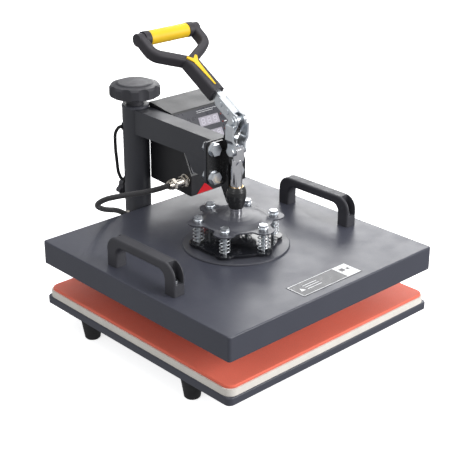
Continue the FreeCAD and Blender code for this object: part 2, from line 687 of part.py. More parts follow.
# ---- links and plunger ----
def toggle_links():
    """Two links that step outwards round the heads of the lever pivot."""
    y, z = EYE
    length = math.hypot(CRANK_PIN[0] - y, CRANK_PIN[1] - z)
    tilt = math.degrees(math.atan2(y - CRANK_PIN[0], CRANK_PIN[1] - z))
    thin = LINK_T
    profile = [(LINK_IN, -7), (LINK_IN, 12), (LINK_BULGE, 19), (LINK_BULGE, length - 8),
               (LINK_IN, length - 6),
               (LINK_IN, length + 7), (LINK_IN + thin, length + 7), (LINK_IN + thin, length - 4.8),
               (LINK_BULGE + thin, length - 6.4), (LINK_BULGE + thin, 17.4), (LINK_IN + thin,
                                                                              10.4), (LINK_IN + thin, -7)]
    links = []
    for sx in (-1, 1):
        strip = polygon([V(sx * a, y - 7, z + b) for a, b in profile]).extrude(V(0, 14, 0))
        plan = strap((y, z), (y, z + length), 7.0, -20, 20)
        link = strip.common(plan)
        link.rotate(V(0, y, z), V(1, 0, 0), tilt)
        link = cut(link, [pin_hole(EYE, PIN_R), pin_hole(CRANK_PIN, PIN_R + RUN_FIT)])
        links.append(link)
    return Part.makeCompound(links)


def plunger_pin():
    """Pin ends carried by the links at the plunger's eye."""
    y, z = EYE
    ends = []
    for sx in (-1, 1):
        stub = rod(V(sx * (LINK_IN - 0.2), y, z), V(sx * (LINK_IN + LINK_T + 1), y, z), PIN_R)
        head = rod(V(sx * (LINK_IN + LINK_T), y, z), V(sx * (LINK_IN + LINK_T + 2.2), y, z), 6.5)
        ends.append(fuse([stub, head]))
    return Part.makeCompound(ends)


def plunger():
    """Chromed plunger with a flat eye on top and a shoulder that carries the spring plate."""
    y, z = EYE
    top = z - 12.0
    shaft = revolve([(0, SPIDER_Z + 2), (8, SPIDER_Z + 2), (8, TOP_Z + 52), (ROD_R, TOP_Z + 53),
                     (ROD_R, top - 1),
                     (ROD_R - 1, top), (0, top)], 0, y)
    lug = strap((y, z - 14), (y, z), 8.0, -7.0, 7.0)
    seat = revolve([(0, SPIDER_Z - 9), (6, SPIDER_Z - 9), (6, SPIDER_Z + 3), (0, SPIDER_Z + 3)], 0, y)
    nut = hexagon(V(0, y, SPIDER_Z - 7.5), V(0, 0, 1), 18.0, 6.5)
    return fuse([shaft, lug, seat, nut])


def lobed_plate(lobe_r, valley_r, z0, z1):
    """A disc with six rounded lobes at the bolts and shallow valleys between them."""
    blades = [upright(0, PLATEN_Y, z0, z1, valley_r)]
    for x, y in spring_spots():
        blades.append(upright(x, y, z0, z1, lobe_r - SPRING_PCR))
    plate = fuse(blades)
    return plate.makeFillet(7.0, edges_along(plate, V(0, 0, 1)))


def spring_spots():
    angles = [math.radians(30 + 60 * k) for k in range(SPRING_COUNT)]
    return [(SPRING_PCR * math.cos(a), PLATEN_Y + SPRING_PCR * math.sin(a)) for a in angles]


def spring_plate():
    """Pressed six-lobe plate, domed in the middle, that pushes on the springs."""
    z = SPIDER_Z
    flange = cut(lobed_plate(69.0, 51.5, z, z + SPIDER_T), [upright(0, PLATEN_Y, z - 1, z + 5, 42.0)])
    dome = revolve([(6.0, z - 1), (6.0, z + 9.6), (16, z + 9.2), (26, z + 8), (36, z + 5.8), (42, z + 3.8),
                    (45.5, z + 2.4), (47.5, z + 2), (47.5, z), (43, z), (40, z + 1.8), (34, z + 3.8), (24, z + 5.6),
                    (14, z + 6.2), (14, z - 1)], 0, PLATEN_Y)
    plate = fuse([flange, dome])
    holes = [upright(x, y, z - 1, z + 5, 3.0 + 0.4) for x, y in spring_spots()]
    return cut(plate, holes + [plunger()])


# ---- platen ----
HOT_T = 13.0
STANDOFFS = [(sx * 125.0, PLATEN_Y + sy * 125.0) for sx in (-1, 1) for sy in (-1, 1)]
HANDLE_X = 165.0
HANDLE_FOOT = 60.0
NUT_H = 5.0


def platen_cover():
    """Folded sheet housing, open below."""
    shell = square_plate(WIDTH, HOUSING_Z, TOP_Z, 4.0)
    rim = [edge for edge in shell.Edges if abs(edge.BoundBox.ZMin - TOP_Z) < 0.01]
    shell = shell.makeFillet(2.0, rim)
    hollow = square_plate(WIDTH - 4.0, HOUSING_Z - 1, TOP_Z - 2.0, 2.0)
    holes = [upright(x, y, TOP_Z - 3, TOP_Z + 1, 3.05) for x, y in spring_spots()]
    holes += [upright(x, y, TOP_Z - 3, TOP_Z + 1, 2.6) for x, y in handle_screw_spots()]
    holes.append(rod(PLATEN_GLAND.sub(V(0, 5, 0)), PLATEN_GLAND.add(V(0, 5, 0)), 5.0))
    return cut(shell, [hollow] + holes)


def heating_plate():
    """Cast aluminium plate with four standoffs and the raised run of its heating element."""
    z1 = PLATE_BOTTOM + HOT_T
    slab = square_plate(PAD_W, PLATE_BOTTOM, z1, 6.0)
    slab = slab.makeFillet(1.5, [e for e in slab.Edges if abs(e.BoundBox.ZMax - PLATE_BOTTOM) < 0.01])
    posts = [upright(x, y, z1 - 1, TOP_Z - 2.0, 9.0) for x, y in STANDOFFS]
    runs = []
    for side in (290.0, 170.0):
        outer = square_plate(side + 12, z1 - 1, z1 + 4, 22.0)
        inner = square_plate(side - 12, z1 - 2, z1 + 5, 16.0)
        runs.append(cut(outer, [inner]))
    return fuse([slab] + posts + runs)


def insulation():
    z0 = PLATE_BOTTOM + HOT_T + 4.0
    sheet = square_plate(PAD_W - 4, z0, TOP_Z - 2.0 - NUT_H - 1.0, 6.0)
    return cut(sheet, [upright(x, y, z0 - 1, TOP_Z, 9.2) for x, y in STANDOFFS])


def mounting_disc():
    disc = revolve([(0, TOP_Z), (76, TOP_Z), (76, TOP_Z + 1.5), (75, TOP_Z + 2.5), (0, TOP_Z + 2.5)], 0,
                   PLATEN_Y)
    return cut(disc, [upright(x, y, TOP_Z - 1, TOP_Z + 4, 3.05) for x, y in spring_spots()])


def pressure_ring():
    boss = upright(0, PLATEN_Y, TOP_Z + 2.5, RING_TOP - 2.5, 50.0)
    ring = lobed_plate(67.0, 58.0, RING_TOP - 3.0, RING_TOP)
    body = fuse([boss, ring])
    return cut(body, [upright(x, y, TOP_Z, RING_TOP + 1, 3.05) for x, y in spring_spots()])


def spring_bolts():
    """Six shouldered bolts with their nuts inside the housing."""
    seat_z = SPIDER_Z + SPIDER_T + 0.05
    pieces = []
    for x, y in spring_spots():
        bolt = hex_bolt(V(x, y, seat_z + 2.6), V(0, 0, 1), 3.0, seat_z - TOP_Z + 10.6, 11.0, 5.4)
        pieces.append(fuse([bolt, upright(x, y, seat_z, seat_z + 1.2, 6.0),
                            upright(x, y, seat_z + 1, seat_z + 3, 4.0)]))
        nut = hexagon(V(x, y, TOP_Z - 2 - NUT_H), V(0, 0, 1), 10.0, NUT_H)
        pieces.append(cut(nut, [upright(x, y, TOP_Z - 10, TOP_Z, 3.02)]))
    return Part.makeCompound(pieces)


SPRING_R, WIRE_R, SPRING_TURNS = 7.2, 0.75, 5.0


def springs():
    """Six compression springs round the bolts."""
    foot = RING_TOP + WIRE_R
    height = SPIDER_Z - RING_TOP - 2 * WIRE_R
    coils = []
    for x, y in spring_spots():
        helix = Part.makeHelix(height / SPRING_TURNS, height, SPRING_R)
        section = Part.Wire(Part.makeCircle(WIRE_R, V(SPRING_R, 0, 0), V(0, 1, 0)))
        coil = Part.Wire(helix.Edges).makePipeShell([section], True, True)
        coil.translate(V(x, y, foot))
        coils.append(coil)
    return Part.makeCompound(coils)


def handle_screw_spots():
    return [(sx * HANDLE_X, PLATEN_Y + sy * HANDLE_FOOT) for sx in (-1, 1) for sy in (-1, 1)]


HANDLE_H = 44.0
HANDLE_HALF = 70.0
HANDLE_BLOCK_H = 16.0


def lift_handle(centre_x):
    """Moulded bridge handle with a pocket over each screw block, open outwards and upwards."""
    y0, z0, half = PLATEN_Y, TOP_Z, HANDLE_HALF
    outer = prism_x([(y0 - half, z0), (y0 - half, z0 + HANDLE_H), (y0 + half, z0 + HANDLE_H),
                     (y0 + half, z0)],
                    centre_x - 9.5, centre_x + 9.5)
    top = [e for e in edges_along(outer, V(1, 0, 0)) if e.BoundBox.ZMin > z0 + 1]
    outer = outer.makeFillet(20.0, top)
    span = half - 20.0
    opening = prism_x([(y0 - span, z0 - 1), (y0 - span, z0 + HANDLE_H - 13), (y0 + span, z0 + HANDLE_H - 13),
                       (y0 + span, z0 - 1)], centre_x - 20, centre_x + 20)
    top = [e for e in edges_along(opening, V(1, 0, 0)) if e.BoundBox.ZMin > z0]
    opening = opening.makeFillet(12.0, top)
    bridge = cut(outer, [opening])
    upright_edges = [e for e in bridge.Edges if e.BoundBox.ZMax > z0 + 1 and e.BoundBox.XLength < 0.01]
    bridge = bridge.makeFillet(3.0, upright_edges)
    pockets = []
    for sy in (-1, 1):
        ya, yb = sorted((y0 + sy * (half - 16), y0 + sy * (half + 2)))
        pocket = box(centre_x - 6.3, centre_x + 6.3, ya, yb, z0 + HANDLE_BLOCK_H, z0 + HANDLE_H + 1)
        inner = [e for e in edges_along(pocket, V(0, 0, 1)) if abs(e.CenterOfMass.y - y0) < half]
        pockets.append(pocket.makeFillet(3.0, inner))
        pockets.append(upright(centre_x, y0 + sy * HANDLE_FOOT, z0 - 1, z0 + HANDLE_BLOCK_H + 1, 2.6))
    return cut(bridge, pockets)


def lift_handles():
    return Part.makeCompound([lift_handle(-HANDLE_X), lift_handle(HANDLE_X)])


def handle_screws():
    screws = []
    for x, y in handle_screw_spots():
        seat_z = TOP_Z + HANDLE_BLOCK_H
        shank = upright(x, y, TOP_Z - 6, seat_z + 1, 2.5)
        nut = hexagon(V(x, y, TOP_Z - 6), V(0, 0, 1), 8.0, 4.0)
        head = upright(x, y, seat_z, seat_z + 3, 4.8)
        screws.append(fuse([shank, nut, head]))
    return Part.makeCompound(screws)


def cover_label():
    return box(-50, 62, PLATEN_Y - 180, PLATEN_Y - 147, TOP_Z, TOP_Z + 0.4)


def cable_route():
    """From the control box, out to the side in an open bow, and down behind the platen housing."""
    start = BOX_GLAND.add(V(-34.0, 0, 0))
    end = gland_outlet(12.0)
    return [start, V(-52, BOX_GLAND.y, BOX_GLAND.z), V(-84, BOX_GLAND.y + 13, BOX_GLAND.z),
            V(-107, BOX_GLAND.y + 32, BOX_GLAND.z - 5), V(-112, BOX_GLAND.y + 49, BOX_GLAND.z - 17),
            V(-100, BOX_GLAND.y + 62, BOX_GLAND.z - 30), V(-78, BOX_GLAND.y + 72,
                                                           BOX_GLAND.z - 43), gland_outlet(30.0), end]


def gland_outlet(distance):
    """A point on the outlet axis of the elbow at the back of the housing."""
    elbow = PLATEN_GLAND.add(V(0, 10.5, 0))
    return elbow.add(V(-0.78, -0.04, 0.62).normalize() * distance)


def heater_cable():
    return tube_along("heater_cable", cable_route(), CABLE_R)


def platen_gland():
    """Elbow gland on the rear wall of the platen housing."""
    wall = PLATEN_GLAND
    elbow = gland_outlet(0.0)
    body = [hexagon(wall, V(0, 1, 0), 15.0, 5.0), rod(wall.sub(V(0, 5, 0)), elbow, 4.9),
            rod(wall, elbow, 6.5),
            Part.makeSphere(6.5, elbow), rod(elbow, gland_outlet(11.7), 6.2),
            hexagon(gland_outlet(6.0), gland_outlet(9.0).sub(elbow), 13.5, 4.0)]
    return fuse(body)


# ---- control box ----
(FACE_Y0, FACE_Z0), (FACE_Y1, FACE_Z1) = BOX_PROFILE[3], BOX_PROFILE[2]
FACE_LEN = math.hypot(FACE_Y1 - FACE_Y0, FACE_Z1 - FACE_Z0)
FACE_DOWN = V(0, (FACE_Y1 - FACE_Y0) / FACE_LEN, (FACE_Z1 - FACE_Z0) / FACE_LEN)
FACE_OUT = V(0, FACE_DOWN.z, -FACE_DOWN.y)


def face_point(x, s, n):
    """A point s mm down the sloping face from its top edge and n mm out of it."""
    return V(x, FACE_Y0, FACE_Z0).add(FACE_DOWN * s).add(FACE_OUT * n)


def face_block(x0, x1, s0, s1, n0, n1):
    corners = [face_point(x0, s0, n0), face_point(x1, s0, n0), face_point(x1, s1, n0),
               face_point(x0, s1, n0)]
    return polygon(corners).extrude(FACE_OUT * (n1 - n0))


def face_rod(x, s, n0, n1, radius):
    return rod(face_point(x, s, n0), face_point(x, s, n1), radius)


def inset_profile(wall):
    """The box's side outline moved in by a wall thickness, and open at the rear."""
    (yr, z0), (yf, z1), (_, z2), (yt, z3), (_, z4) = BOX_PROFILE
    return [(yr + 1, z0 + wall), (yf + wall, z1 + wall), (yf + wall, z2 - 0.3 * wall),
            (yt + 0.7 * wall, z3 - 1.1 * wall),
            (yr + 1, z4 - wall)]


INLET = (48.0, TOP_Z + 62.0)
ROCKER = (92.0, TOP_Z + 62.0)
ROCKER_PIVOT_Y = BOX_REAR + COVER_T - 4.0
ROCKER_TILT = 7.0        # degrees, each side of level
COVER_SCREWS = [(x, z) for x in (BOX_X0 + 7, BOX_X1 - 7) for z in (TOP_Z + 44.0, TOP_Z + 151.0)]


def box_case():
    """Folded steel case, open at the rear and at the sloping face, with its pad on the arm."""
    shell = prism_x(BOX_PROFILE, BOX_X0, BOX_X1)
    shell = shell.makeFillet(1.5, [e for e in edges_along(shell, V(1, 0,
                                                                   0)) if e.BoundBox.YMax < BOX_REAR - 1])
    hollow = prism_x(inset_profile(BOX_T), BOX_X0 + BOX_T, BOX_X1 - BOX_T)
    window = face_block(BOX_X0 + 8, BOX_X1 - 8, 8, FACE_LEN - 8, -6, 3)
    pad = box(BEAM_X, BOX_X0 + 0.5, PLATEN_Y + 120, PLATEN_Y + 190, BEAM_BOTTOM + 4, BEAM_BOTTOM + 24)
    gland_hole = rod(BOX_GLAND.sub(V(1, 0, 0)), BOX_GLAND.add(V(8, 0, 0)), 6.0)
    tabs = []
    for x, z in COVER_SCREWS:
        tab = box(x - 5, x + 5, BOX_REAR - 8, BOX_REAR, z - 4.5, z + 4.5)
        tabs.append(cut(tab, [rod(V(x, BOX_REAR - 9, z), V(x, BOX_REAR + 1, z), 1.5)]))
    return cut(fuse([cut(shell, [hollow]), pad] + tabs), [window, gland_hole])


def box_rear_cover():
    """Flat rear panel with the cut-outs of the inlet and the switch, and a row of vents."""
    y0, y1 = BOX_REAR, BOX_REAR + COVER_T
    panel = box(BOX_X0, BOX_X1, y0, y1, TOP_Z + 38, TOP_Z + 158)
    panel = panel.makeFillet(2.0, edges_along(panel, V(0, 1, 0)))
    holes = [box(x - 13.5, x + 13.5, y0 - 1, y1 + 1, z - 10.5, z + 10.5) for x, z in (INLET, ROCKER)]
    holes += [rod(V(x, y0 - 1, z), V(x, y1 + 1, z), 1.7) for x, z in COVER_SCREWS]
    for k in range(8):
        x = BOX_X0 + 24 + 9 * k
        holes.append(box(x - 1.5, x + 1.5, y0 - 1, y1 + 1, TOP_Z + 100, TOP_Z + 132))
    return cut(panel, holes)


def case_screws():
    screws = []
    for x, z in COVER_SCREWS:
        head = rod(V(x, BOX_REAR + COVER_T, z), V(x, BOX_REAR + COVER_T + 2, z), 3.2)
        shank = rod(V(x, BOX_REAR - 7.5, z), V(x, BOX_REAR + COVER_T + 0.5, z), 1.5)
        slot = box(x - 2.2, x + 2.2, BOX_REAR + COVER_T + 1.2, BOX_REAR + COVER_T + 3, z - 0.4, z + 0.4)
        screws.append(cut(fuse([head, shank]), [slot]))
    return Part.makeCompound(screws)


def faceplate():
    plate = face_block(BOX_X0 + 3, BOX_X1 - 3, 3, FACE_LEN - 3, 0, FACE_T)
    plate = plate.makeFillet(3.0, edges_along(plate, FACE_OUT))
    x0, x1 = DISPLAY_X
    cuts = [face_block(x0, x1, s0, s1, -1, FACE_T + 1) for s0, s1 in DISPLAY_S]
    cuts += [face_rod(x, BUTTON_S, -1, FACE_T + 1, BUTTON_R + GAP) for x in BUTTON_X]
    cuts += [face_rod(LED_X, s, -1, FACE_T + 1, 1.5) for s in LED_S]
    return cut(plate, cuts)


def displays():
    """Two three-digit display modules, set behind their windows."""
    x0, x1 = DISPLAY_X
    modules = []
    for s0, s1 in DISPLAY_S:
        back = face_block(x0 - 1, x1 + 1, s0 - 1, s1 + 1, -8, -0.1)
        front = face_block(x0 + 0.3, x1 - 0.3, s0 + 0.3, s1 - 0.3, -0.2, FACE_T - 0.5)
        modules.append(fuse([back, front]))
    return Part.makeCompound(modules)


def indicator_leds():
    leds = []
    for s in LED_S:
        dome = Part.makeSphere(1.45, face_point(LED_X, s, FACE_T))
        leds.append(fuse([face_rod(LED_X, s, -6, FACE_T, 1.45), dome]))
    return Part.makeCompound(leds)


def control_board():
    """Circuit board behind the face, with the larger parts soldered to it."""
    board = face_block(BOX_X0 + 10, BOX_X1 - 10, 11, 84, -13.6, -12.0)
    posts = [face_block(DISPLAY_X[0] + 8, DISPLAY_X[1] - 8, s0 + 2, s1 - 2, -12.1, -8.0) for s0,
             s1 in DISPLAY_S]
    switches = [face_block(x - 3, x + 3, BUTTON_S - 3, BUTTON_S + 3, -12.1, -7.2) for x in BUTTON_X]
    chips = [face_block(28, 42, 24, 38, -16.5, -13.5), face_block(60, 76, 50, 60, -25, -13.5),
             face_rod(92, 30, -24, -13.5, 5.0), face_rod(92, 44, -21, -13.5, 4.0)]
    return fuse([board] + posts + switches + chips)


def transformer():
    """Mains transformer on the floor of the case: laminated core with its bobbin."""
    z0 = TOP_Z + 42.5
    core = box(34, 74, PLATEN_Y + 142, PLATEN_Y + 168, z0 + 2, z0 + 36)
    bobbin = rounded_box(42, 66, PLATEN_Y + 136, PLATEN_Y + 174, z0 + 8, z0 + 30, 5.0)
    feet = box(26, 82, PLATEN_Y + 146, PLATEN_Y + 164, z0 - 3.9, z0 + 2.1)
    return fuse([core, bobbin, feet])


def mains_inlet():
    """Three-pin appliance inlet with a screwed flange."""
    x, z = INLET
    y0 = BOX_REAR + COVER_T
    flange = box(x - 25, x + 25, y0, y0 + 2.5, z - 12, z + 12)
    flange = flange.makeFillet(8.0, edges_along(flange, V(0, 1, 0)))
    body = box(x - 13.4, x + 13.4, y0 - 24, y0 + 1, z - 10.4, z + 10.4)
    well = box(x - 12, x + 12, y0 - 16, y0 + 4, z - 8, z + 8)
    holes = [rod(V(x + sx * 20, y0 - 1, z), V(x + sx * 20, y0 + 4, z), 1.7) for sx in (-1, 1)]
    pins = [box(x + dx - 1, x + dx + 1, y0 - 20, y0 - 6, z + dz - 2, z + dz + 2) for dx,
            dz in ((-7, -2), (7, -2), (0, 3))]
    return fuse([cut(fuse([flange, body]), [well] + holes)] + pins)


def rocker_housing():
    x, z = ROCKER
    y0 = BOX_REAR + COVER_T
    frame = box(x - 15.5, x + 15.5, y0, y0 + 2, z - 12.5, z + 12.5)
    body = box(x - 13.4, x + 13.4, y0 - 18, y0 + 1, z - 10.4, z + 10.4)
    well = box(x - 12, x + 12, y0 - 9, y0 + 3, z - 9, z + 9)
    return cut(fuse([frame, body]), [well])


def power_rocker():
    """The switch's rocker: a shallow V face about its own pivot."""
    x, z = ROCKER
    y0 = BOX_REAR + COVER_T
    outline = [(y0 - 7, z - 2), (y0 - 5, z - 8.0), (y0 + 3.6, z - 7.6), (y0 + 1.6, z), (y0 + 3.6, z + 7.6),
               (y0 - 5, z + 8.0), (y0 - 7, z + 2)]
    rocker = prism_x(outline, x - 11.6, x + 11.6)
    rocker.rotate(V(x, ROCKER_PIVOT_Y, z), V(1, 0, 0), -ROCKER_TILT)
    return rocker


def box_gland():
    """Chromed gland in the side of the case, for the heater cable."""
    wall = BOX_GLAND
    left = V(-1, 0, 0)

    def out(distance):
        return wall.add(left * distance)

    body = [rod(out(-6), out(34), 5.8), rod(out(0), out(2), 10.0), hexagon(out(2), left, 16.0, 6.0),
            rod(out(8), out(22), 7.0), hexagon(out(22), left, 15.5, 5.0), rod(out(27), out(32), 6.8),
            hexagon(out(-5.5), left, 15.0, 3.5)]
    return cut(fuse(body), [rod(out(33.9), out(36), CABLE_R)])


def lip_label():
    """Triangular plate on the front lip of the case."""
    y = BOX_PROFILE[1][0]
    corners = [V(27, y, TOP_Z + 34.2), V(58.5, y, TOP_Z + 34.2), V(42.5, y, TOP_Z + 49)]
    return polygon(corners).extrude(V(0, -0.4, 0))


def face_button(x):
    cap = face_rod(x, BUTTON_S, -5.5, FACE_T + 1.8, BUTTON_R)
    rim = [e for e in cap.Edges if e.Curve.TypeId == "Part::GeomCircle"]
    crown = [max(rim, key=lambda e: e.CenterOfMass.dot(FACE_OUT))]
    return cap.makeFillet(0.8, crown)


def export(name, shape):
    solids = shape.Solids
    if not shape.isValid() or not solids:
        raise RuntimeError(name + " isn't a valid solid")
    result = solids[0] if len(solids) == 1 else Part.makeCompound(solids)
    result.exportStep("parts/" + name + ".step")


NODES = {
    "base_plate": base_plate, "rear_outrigger": rear_outrigger, "rubber_feet": rubber_feet,
    "foot_screws": foot_screws, "post_stand": post_stand, "post_bolts": post_bolts,
    "pad_board": pad_board, "silicone_pad": silicone_pad, "thrust_cap": thrust_cap,
    "outer_tube": outer_tube, "top_collar": top_collar, "pressure_knob": pressure_knob,
    "pressure_screw": pressure_screw, "lock_knob": lock_knob, "rear_lead": rear_lead,
    "arm_beam": arm_beam, "arm_gusset": arm_gusset, "arm_end_plate": arm_end_plate,
    "toggle_guide": toggle_guide, "guide_bush": guide_bush, "guide_bolts": guide_bolts,
    "pivot_pin": pivot_pin, "lever_plates": lever_plates, "lever_bar": lever_bar,
    "lever_pins": lever_pins, "handle_frame": handle_frame, "grip_sleeve": grip_sleeve,
    "handle_inlay": handle_inlay, "toggle_links": toggle_links, "plunger_pin": plunger_pin,
    "plunger": plunger, "spring_plate": spring_plate, "platen_cover": platen_cover,
    "heating_plate": heating_plate, "insulation": insulation, "mounting_disc": mounting_disc,
    "pressure_ring": pressure_ring, "spring_bolts": spring_bolts, "springs": springs,
    "lift_handles": lift_handles, "handle_screws": handle_screws, "cover_label": cover_label,
    "heater_cable": heater_cable, "platen_gland": platen_gland, "box_case": box_case,
    "box_rear_cover": box_rear_cover, "case_screws": case_screws, "faceplate": faceplate,
    "displays": displays, "indicator_leds": indicator_leds, "control_board": control_board,
    "transformer": transformer, "mains_inlet": mains_inlet, "rocker_housing": rocker_housing,
    "power_rocker": power_rocker, "box_gland": box_gland, "lip_label": lip_label,
}


def main():
    os.makedirs("parts", exist_ok=True)
    for name, build in NODES.items():
        export(name, build())
    for index, x in enumerate(BUTTON_X, start=1):
        export("face_button_" + str(index), face_button(x))


main()
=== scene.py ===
"""Looks of the swing-away heat press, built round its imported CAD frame.

Metres, +Z up, -Y to the operator.
"""
import json
import math

import bmesh
import bpy
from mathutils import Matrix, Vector


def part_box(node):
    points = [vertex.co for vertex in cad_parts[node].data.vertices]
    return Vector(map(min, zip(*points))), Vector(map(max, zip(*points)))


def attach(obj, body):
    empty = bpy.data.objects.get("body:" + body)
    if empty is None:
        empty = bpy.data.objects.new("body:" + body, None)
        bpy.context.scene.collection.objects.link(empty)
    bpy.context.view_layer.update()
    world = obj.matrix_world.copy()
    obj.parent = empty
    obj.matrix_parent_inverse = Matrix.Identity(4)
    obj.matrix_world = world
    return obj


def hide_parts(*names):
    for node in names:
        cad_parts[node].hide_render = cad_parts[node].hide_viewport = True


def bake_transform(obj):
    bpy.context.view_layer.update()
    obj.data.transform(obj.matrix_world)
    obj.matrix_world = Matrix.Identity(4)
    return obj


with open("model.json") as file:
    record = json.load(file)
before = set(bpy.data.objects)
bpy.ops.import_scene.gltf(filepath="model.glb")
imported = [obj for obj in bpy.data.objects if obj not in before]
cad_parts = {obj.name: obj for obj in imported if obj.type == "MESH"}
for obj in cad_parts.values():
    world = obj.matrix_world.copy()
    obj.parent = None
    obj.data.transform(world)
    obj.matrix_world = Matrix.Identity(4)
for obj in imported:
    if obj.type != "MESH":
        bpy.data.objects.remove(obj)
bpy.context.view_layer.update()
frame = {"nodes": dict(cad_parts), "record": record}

NODES = frame["nodes"]
MM = 0.001
TOP_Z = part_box("platen_cover")[1].z     # top of the platen housing, from which heights are counted

EVEN = (1, 1, 1)                # stretch of a texture that has no direction
DRAWN = (1, 1, 30)              # stretch that leaves fine lines across the Z axis
NOISE_ROUGHNESS = 0.55
NOISE_LOW, NOISE_MIDDLE, NOISE_HIGH = 0.3, 0.5, 0.7     # noise seldom goes past the outer two
BEVEL_SAMPLES = 4
EDGE_BAND = (0.80, 0.97)        # agreement of the rounded and true normals, on an edge and off it
EDGE_WEAR_AND_HIGHLIGHT_SCALE = 260                # noise that breaks up a lighter edge, partly wear and partly a painted highlight, and the band of it that shows
EDGE_WEAR_AND_HIGHLIGHT_BAND = (0.42, 0.66)
MIX_FACTOR, MIX_FIRST, MIX_SECOND, MIX_RESULT = 0, 6, 7, 2      # sockets of a colour Mix node


# ---------------------------------------------------------------- materials
class Finish:
    """A node-based material: a Principled shader, and the textures and relief that vary it."""

    def __init__(self, name, color, rough, metallic=0.0, specular=0.5, coat=0.0, coat_rough=0.1,
                 sheen=0.0):
        self.mat = bpy.data.materials.new(name)
        self.mat.use_nodes = True
        self.nodes = self.mat.node_tree.nodes
        self.links = self.mat.node_tree.links
        self.shader = self.nodes["Principled BSDF"]
        self.color = color
        self.rough = rough
        self.tint = None        # the colour after the mixes so far
        self.normal = None      # the normal after the bevel and the reliefs so far
        inputs = self.shader.inputs
        inputs["Base Color"].default_value = (*color, 1.0)
        inputs["Roughness"].default_value = rough
        inputs["Metallic"].default_value = metallic
        inputs["Specular IOR Level"].default_value = specular
        inputs["Coat Weight"].default_value = coat
        inputs["Coat Roughness"].default_value = coat_rough
        inputs["Sheen Weight"].default_value = sheen
        self.mat.diffuse_color = (*color, 1.0)

    def node(self, kind, **values):
        made = self.nodes.new(kind)
        for key, value in values.items():
            setattr(made, key, value)
        return made

    def link(self, source, target):
        self.links.new(source, target)

    def place(self, stretch):
        """Coordinates on the piece at rest, in metres, stretched for directional textures."""
        where = self.node("ShaderNodeTexCoord")
        mapping = self.node("ShaderNodeMapping")
        mapping.inputs["Scale"].default_value = stretch
        self.link(where.outputs["Object"], mapping.inputs["Vector"])
        return mapping.outputs["Vector"]

    def noise(self, scale, detail=3.0, stretch=EVEN):
        made = self.node("ShaderNodeTexNoise")
        made.inputs["Scale"].default_value = scale
        made.inputs["Detail"].default_value = detail
        made.inputs["Roughness"].default_value = NOISE_ROUGHNESS
        self.link(self.place(stretch), made.inputs["Vector"])
        return made.outputs["Fac"]

    def cells(self, scale, feature="F1"):
        made = self.node("ShaderNodeTexVoronoi", feature=feature)
        made.inputs["Scale"].default_value = scale
        self.link(self.place(EVEN), made.inputs["Vector"])
        return made.outputs["Distance"]

    def spread(self, value, low, high, start, end):
        """Turn start to end of a value into low to high."""
        made = self.node("ShaderNodeMapRange", clamp=True)
        made.inputs["From Min"].default_value = start
        made.inputs["From Max"].default_value = end
        made.inputs["To Min"].default_value = low
        made.inputs["To Max"].default_value = high
        self.link(value, made.inputs["Value"])
        return made.outputs["Result"]

    def combine(self, a, b, operation):
        """One step of arithmetic on a value and another value or a number."""
        made = self.node("ShaderNodeMath", operation=operation)
        self.link(a, made.inputs[0])
        if isinstance(b, float):
            made.inputs[1].default_value = b
        else:
            self.link(b, made.inputs[1])
        return made.outputs["Value"]

    def mix(self, factor, other):
        """Blend the colour so far towards another colour."""
        made = self.node("ShaderNodeMix", data_type="RGBA")
        if self.tint is None:
            made.inputs[MIX_FIRST].default_value = (*self.color, 1.0)
        else:
            self.link(self.tint, made.inputs[MIX_FIRST])
        made.inputs[MIX_SECOND].default_value = (*other, 1.0)
        self.link(factor, made.inputs[MIX_FACTOR])
        self.tint = made.outputs[MIX_RESULT]
        self.link(self.tint, self.shader.inputs["Base Color"])
        return self

    def mottle(self, scale, amount):
        """Uneven colour, lighter and darker by an amount about the base colour."""
        field = self.noise(scale, detail=5.0)
        darker = tuple(c * (1 - amount) for c in self.color)
        brighter = tuple(min(1.0, c * (1 + amount)) for c in self.color)
        self.mix(self.spread(field, 1.0, 0.0, NOISE_LOW, NOISE_MIDDLE), darker)
        self.mix(self.spread(field, 0.0, 1.0, NOISE_MIDDLE, NOISE_HIGH), brighter)
        return self

    def smear(self, scale, amount, stretch=EVEN):
        """Uneven gloss about the base roughness."""
        field = self.noise(scale, detail=4.0, stretch=stretch)
        low, high = max(0.02, self.rough - amount), min(1.0, self.rough + amount)
        gloss = self.spread(field, low, high, NOISE_LOW, NOISE_HIGH)
        self.link(gloss, self.shader.inputs["Roughness"])
        return self

    def bevel(self, radius):
        """The normal, rounded near the edges."""
        made = self.node("ShaderNodeBevel", samples=BEVEL_SAMPLES)
        made.inputs["Radius"].default_value = radius
        return made.outputs["Normal"]

    def round_edges(self, radius):
        self.normal = self.bevel(radius)
        self.link(self.normal, self.shader.inputs["Normal"])
        return self

    def edge_wear_and_highlight(self, radius, color, amount):
        """Lighter edges, partly rubbed wear and partly a painted highlight: where the rounded normal
        leaves the true one, broken up by noise.
        """
        rounded = self.bevel(radius)
        true = self.node("ShaderNodeNewGeometry").outputs["Normal"]
        dot = self.node("ShaderNodeVectorMath", operation="DOT_PRODUCT")
        self.link(rounded, dot.inputs[0])
        self.link(true, dot.inputs[1])
        edge = self.spread(dot.outputs["Value"], 1.0, 0.0, *EDGE_BAND)
        patchy = self.spread(self.noise(EDGE_WEAR_AND_HIGHLIGHT_SCALE, detail=6.0), 0.0, amount, *EDGE_WEAR_AND_HIGHLIGHT_BAND)
        self.mix(self.combine(edge, patchy, "MULTIPLY"), color)
        return self

    def relief(self, height, depth):
        """Bump of a given depth in metres, on top of what is there."""
        made = self.node("ShaderNodeBump")
        made.inputs["Strength"].default_value = 1.0
        made.inputs["Distance"].default_value = depth
        self.link(height, made.inputs["Height"])
        if self.normal is not None:
            self.link(self.normal, made.inputs["Normal"])
        self.normal = made.outputs["Normal"]
        self.link(self.normal, self.shader.inputs["Normal"])
        return self


def lighter(color, gain, lift):
    """The lighter colour of an edge, partly rubbed wear and partly a painted highlight."""
    return tuple(min(1.0, c * gain + lift) for c in color)


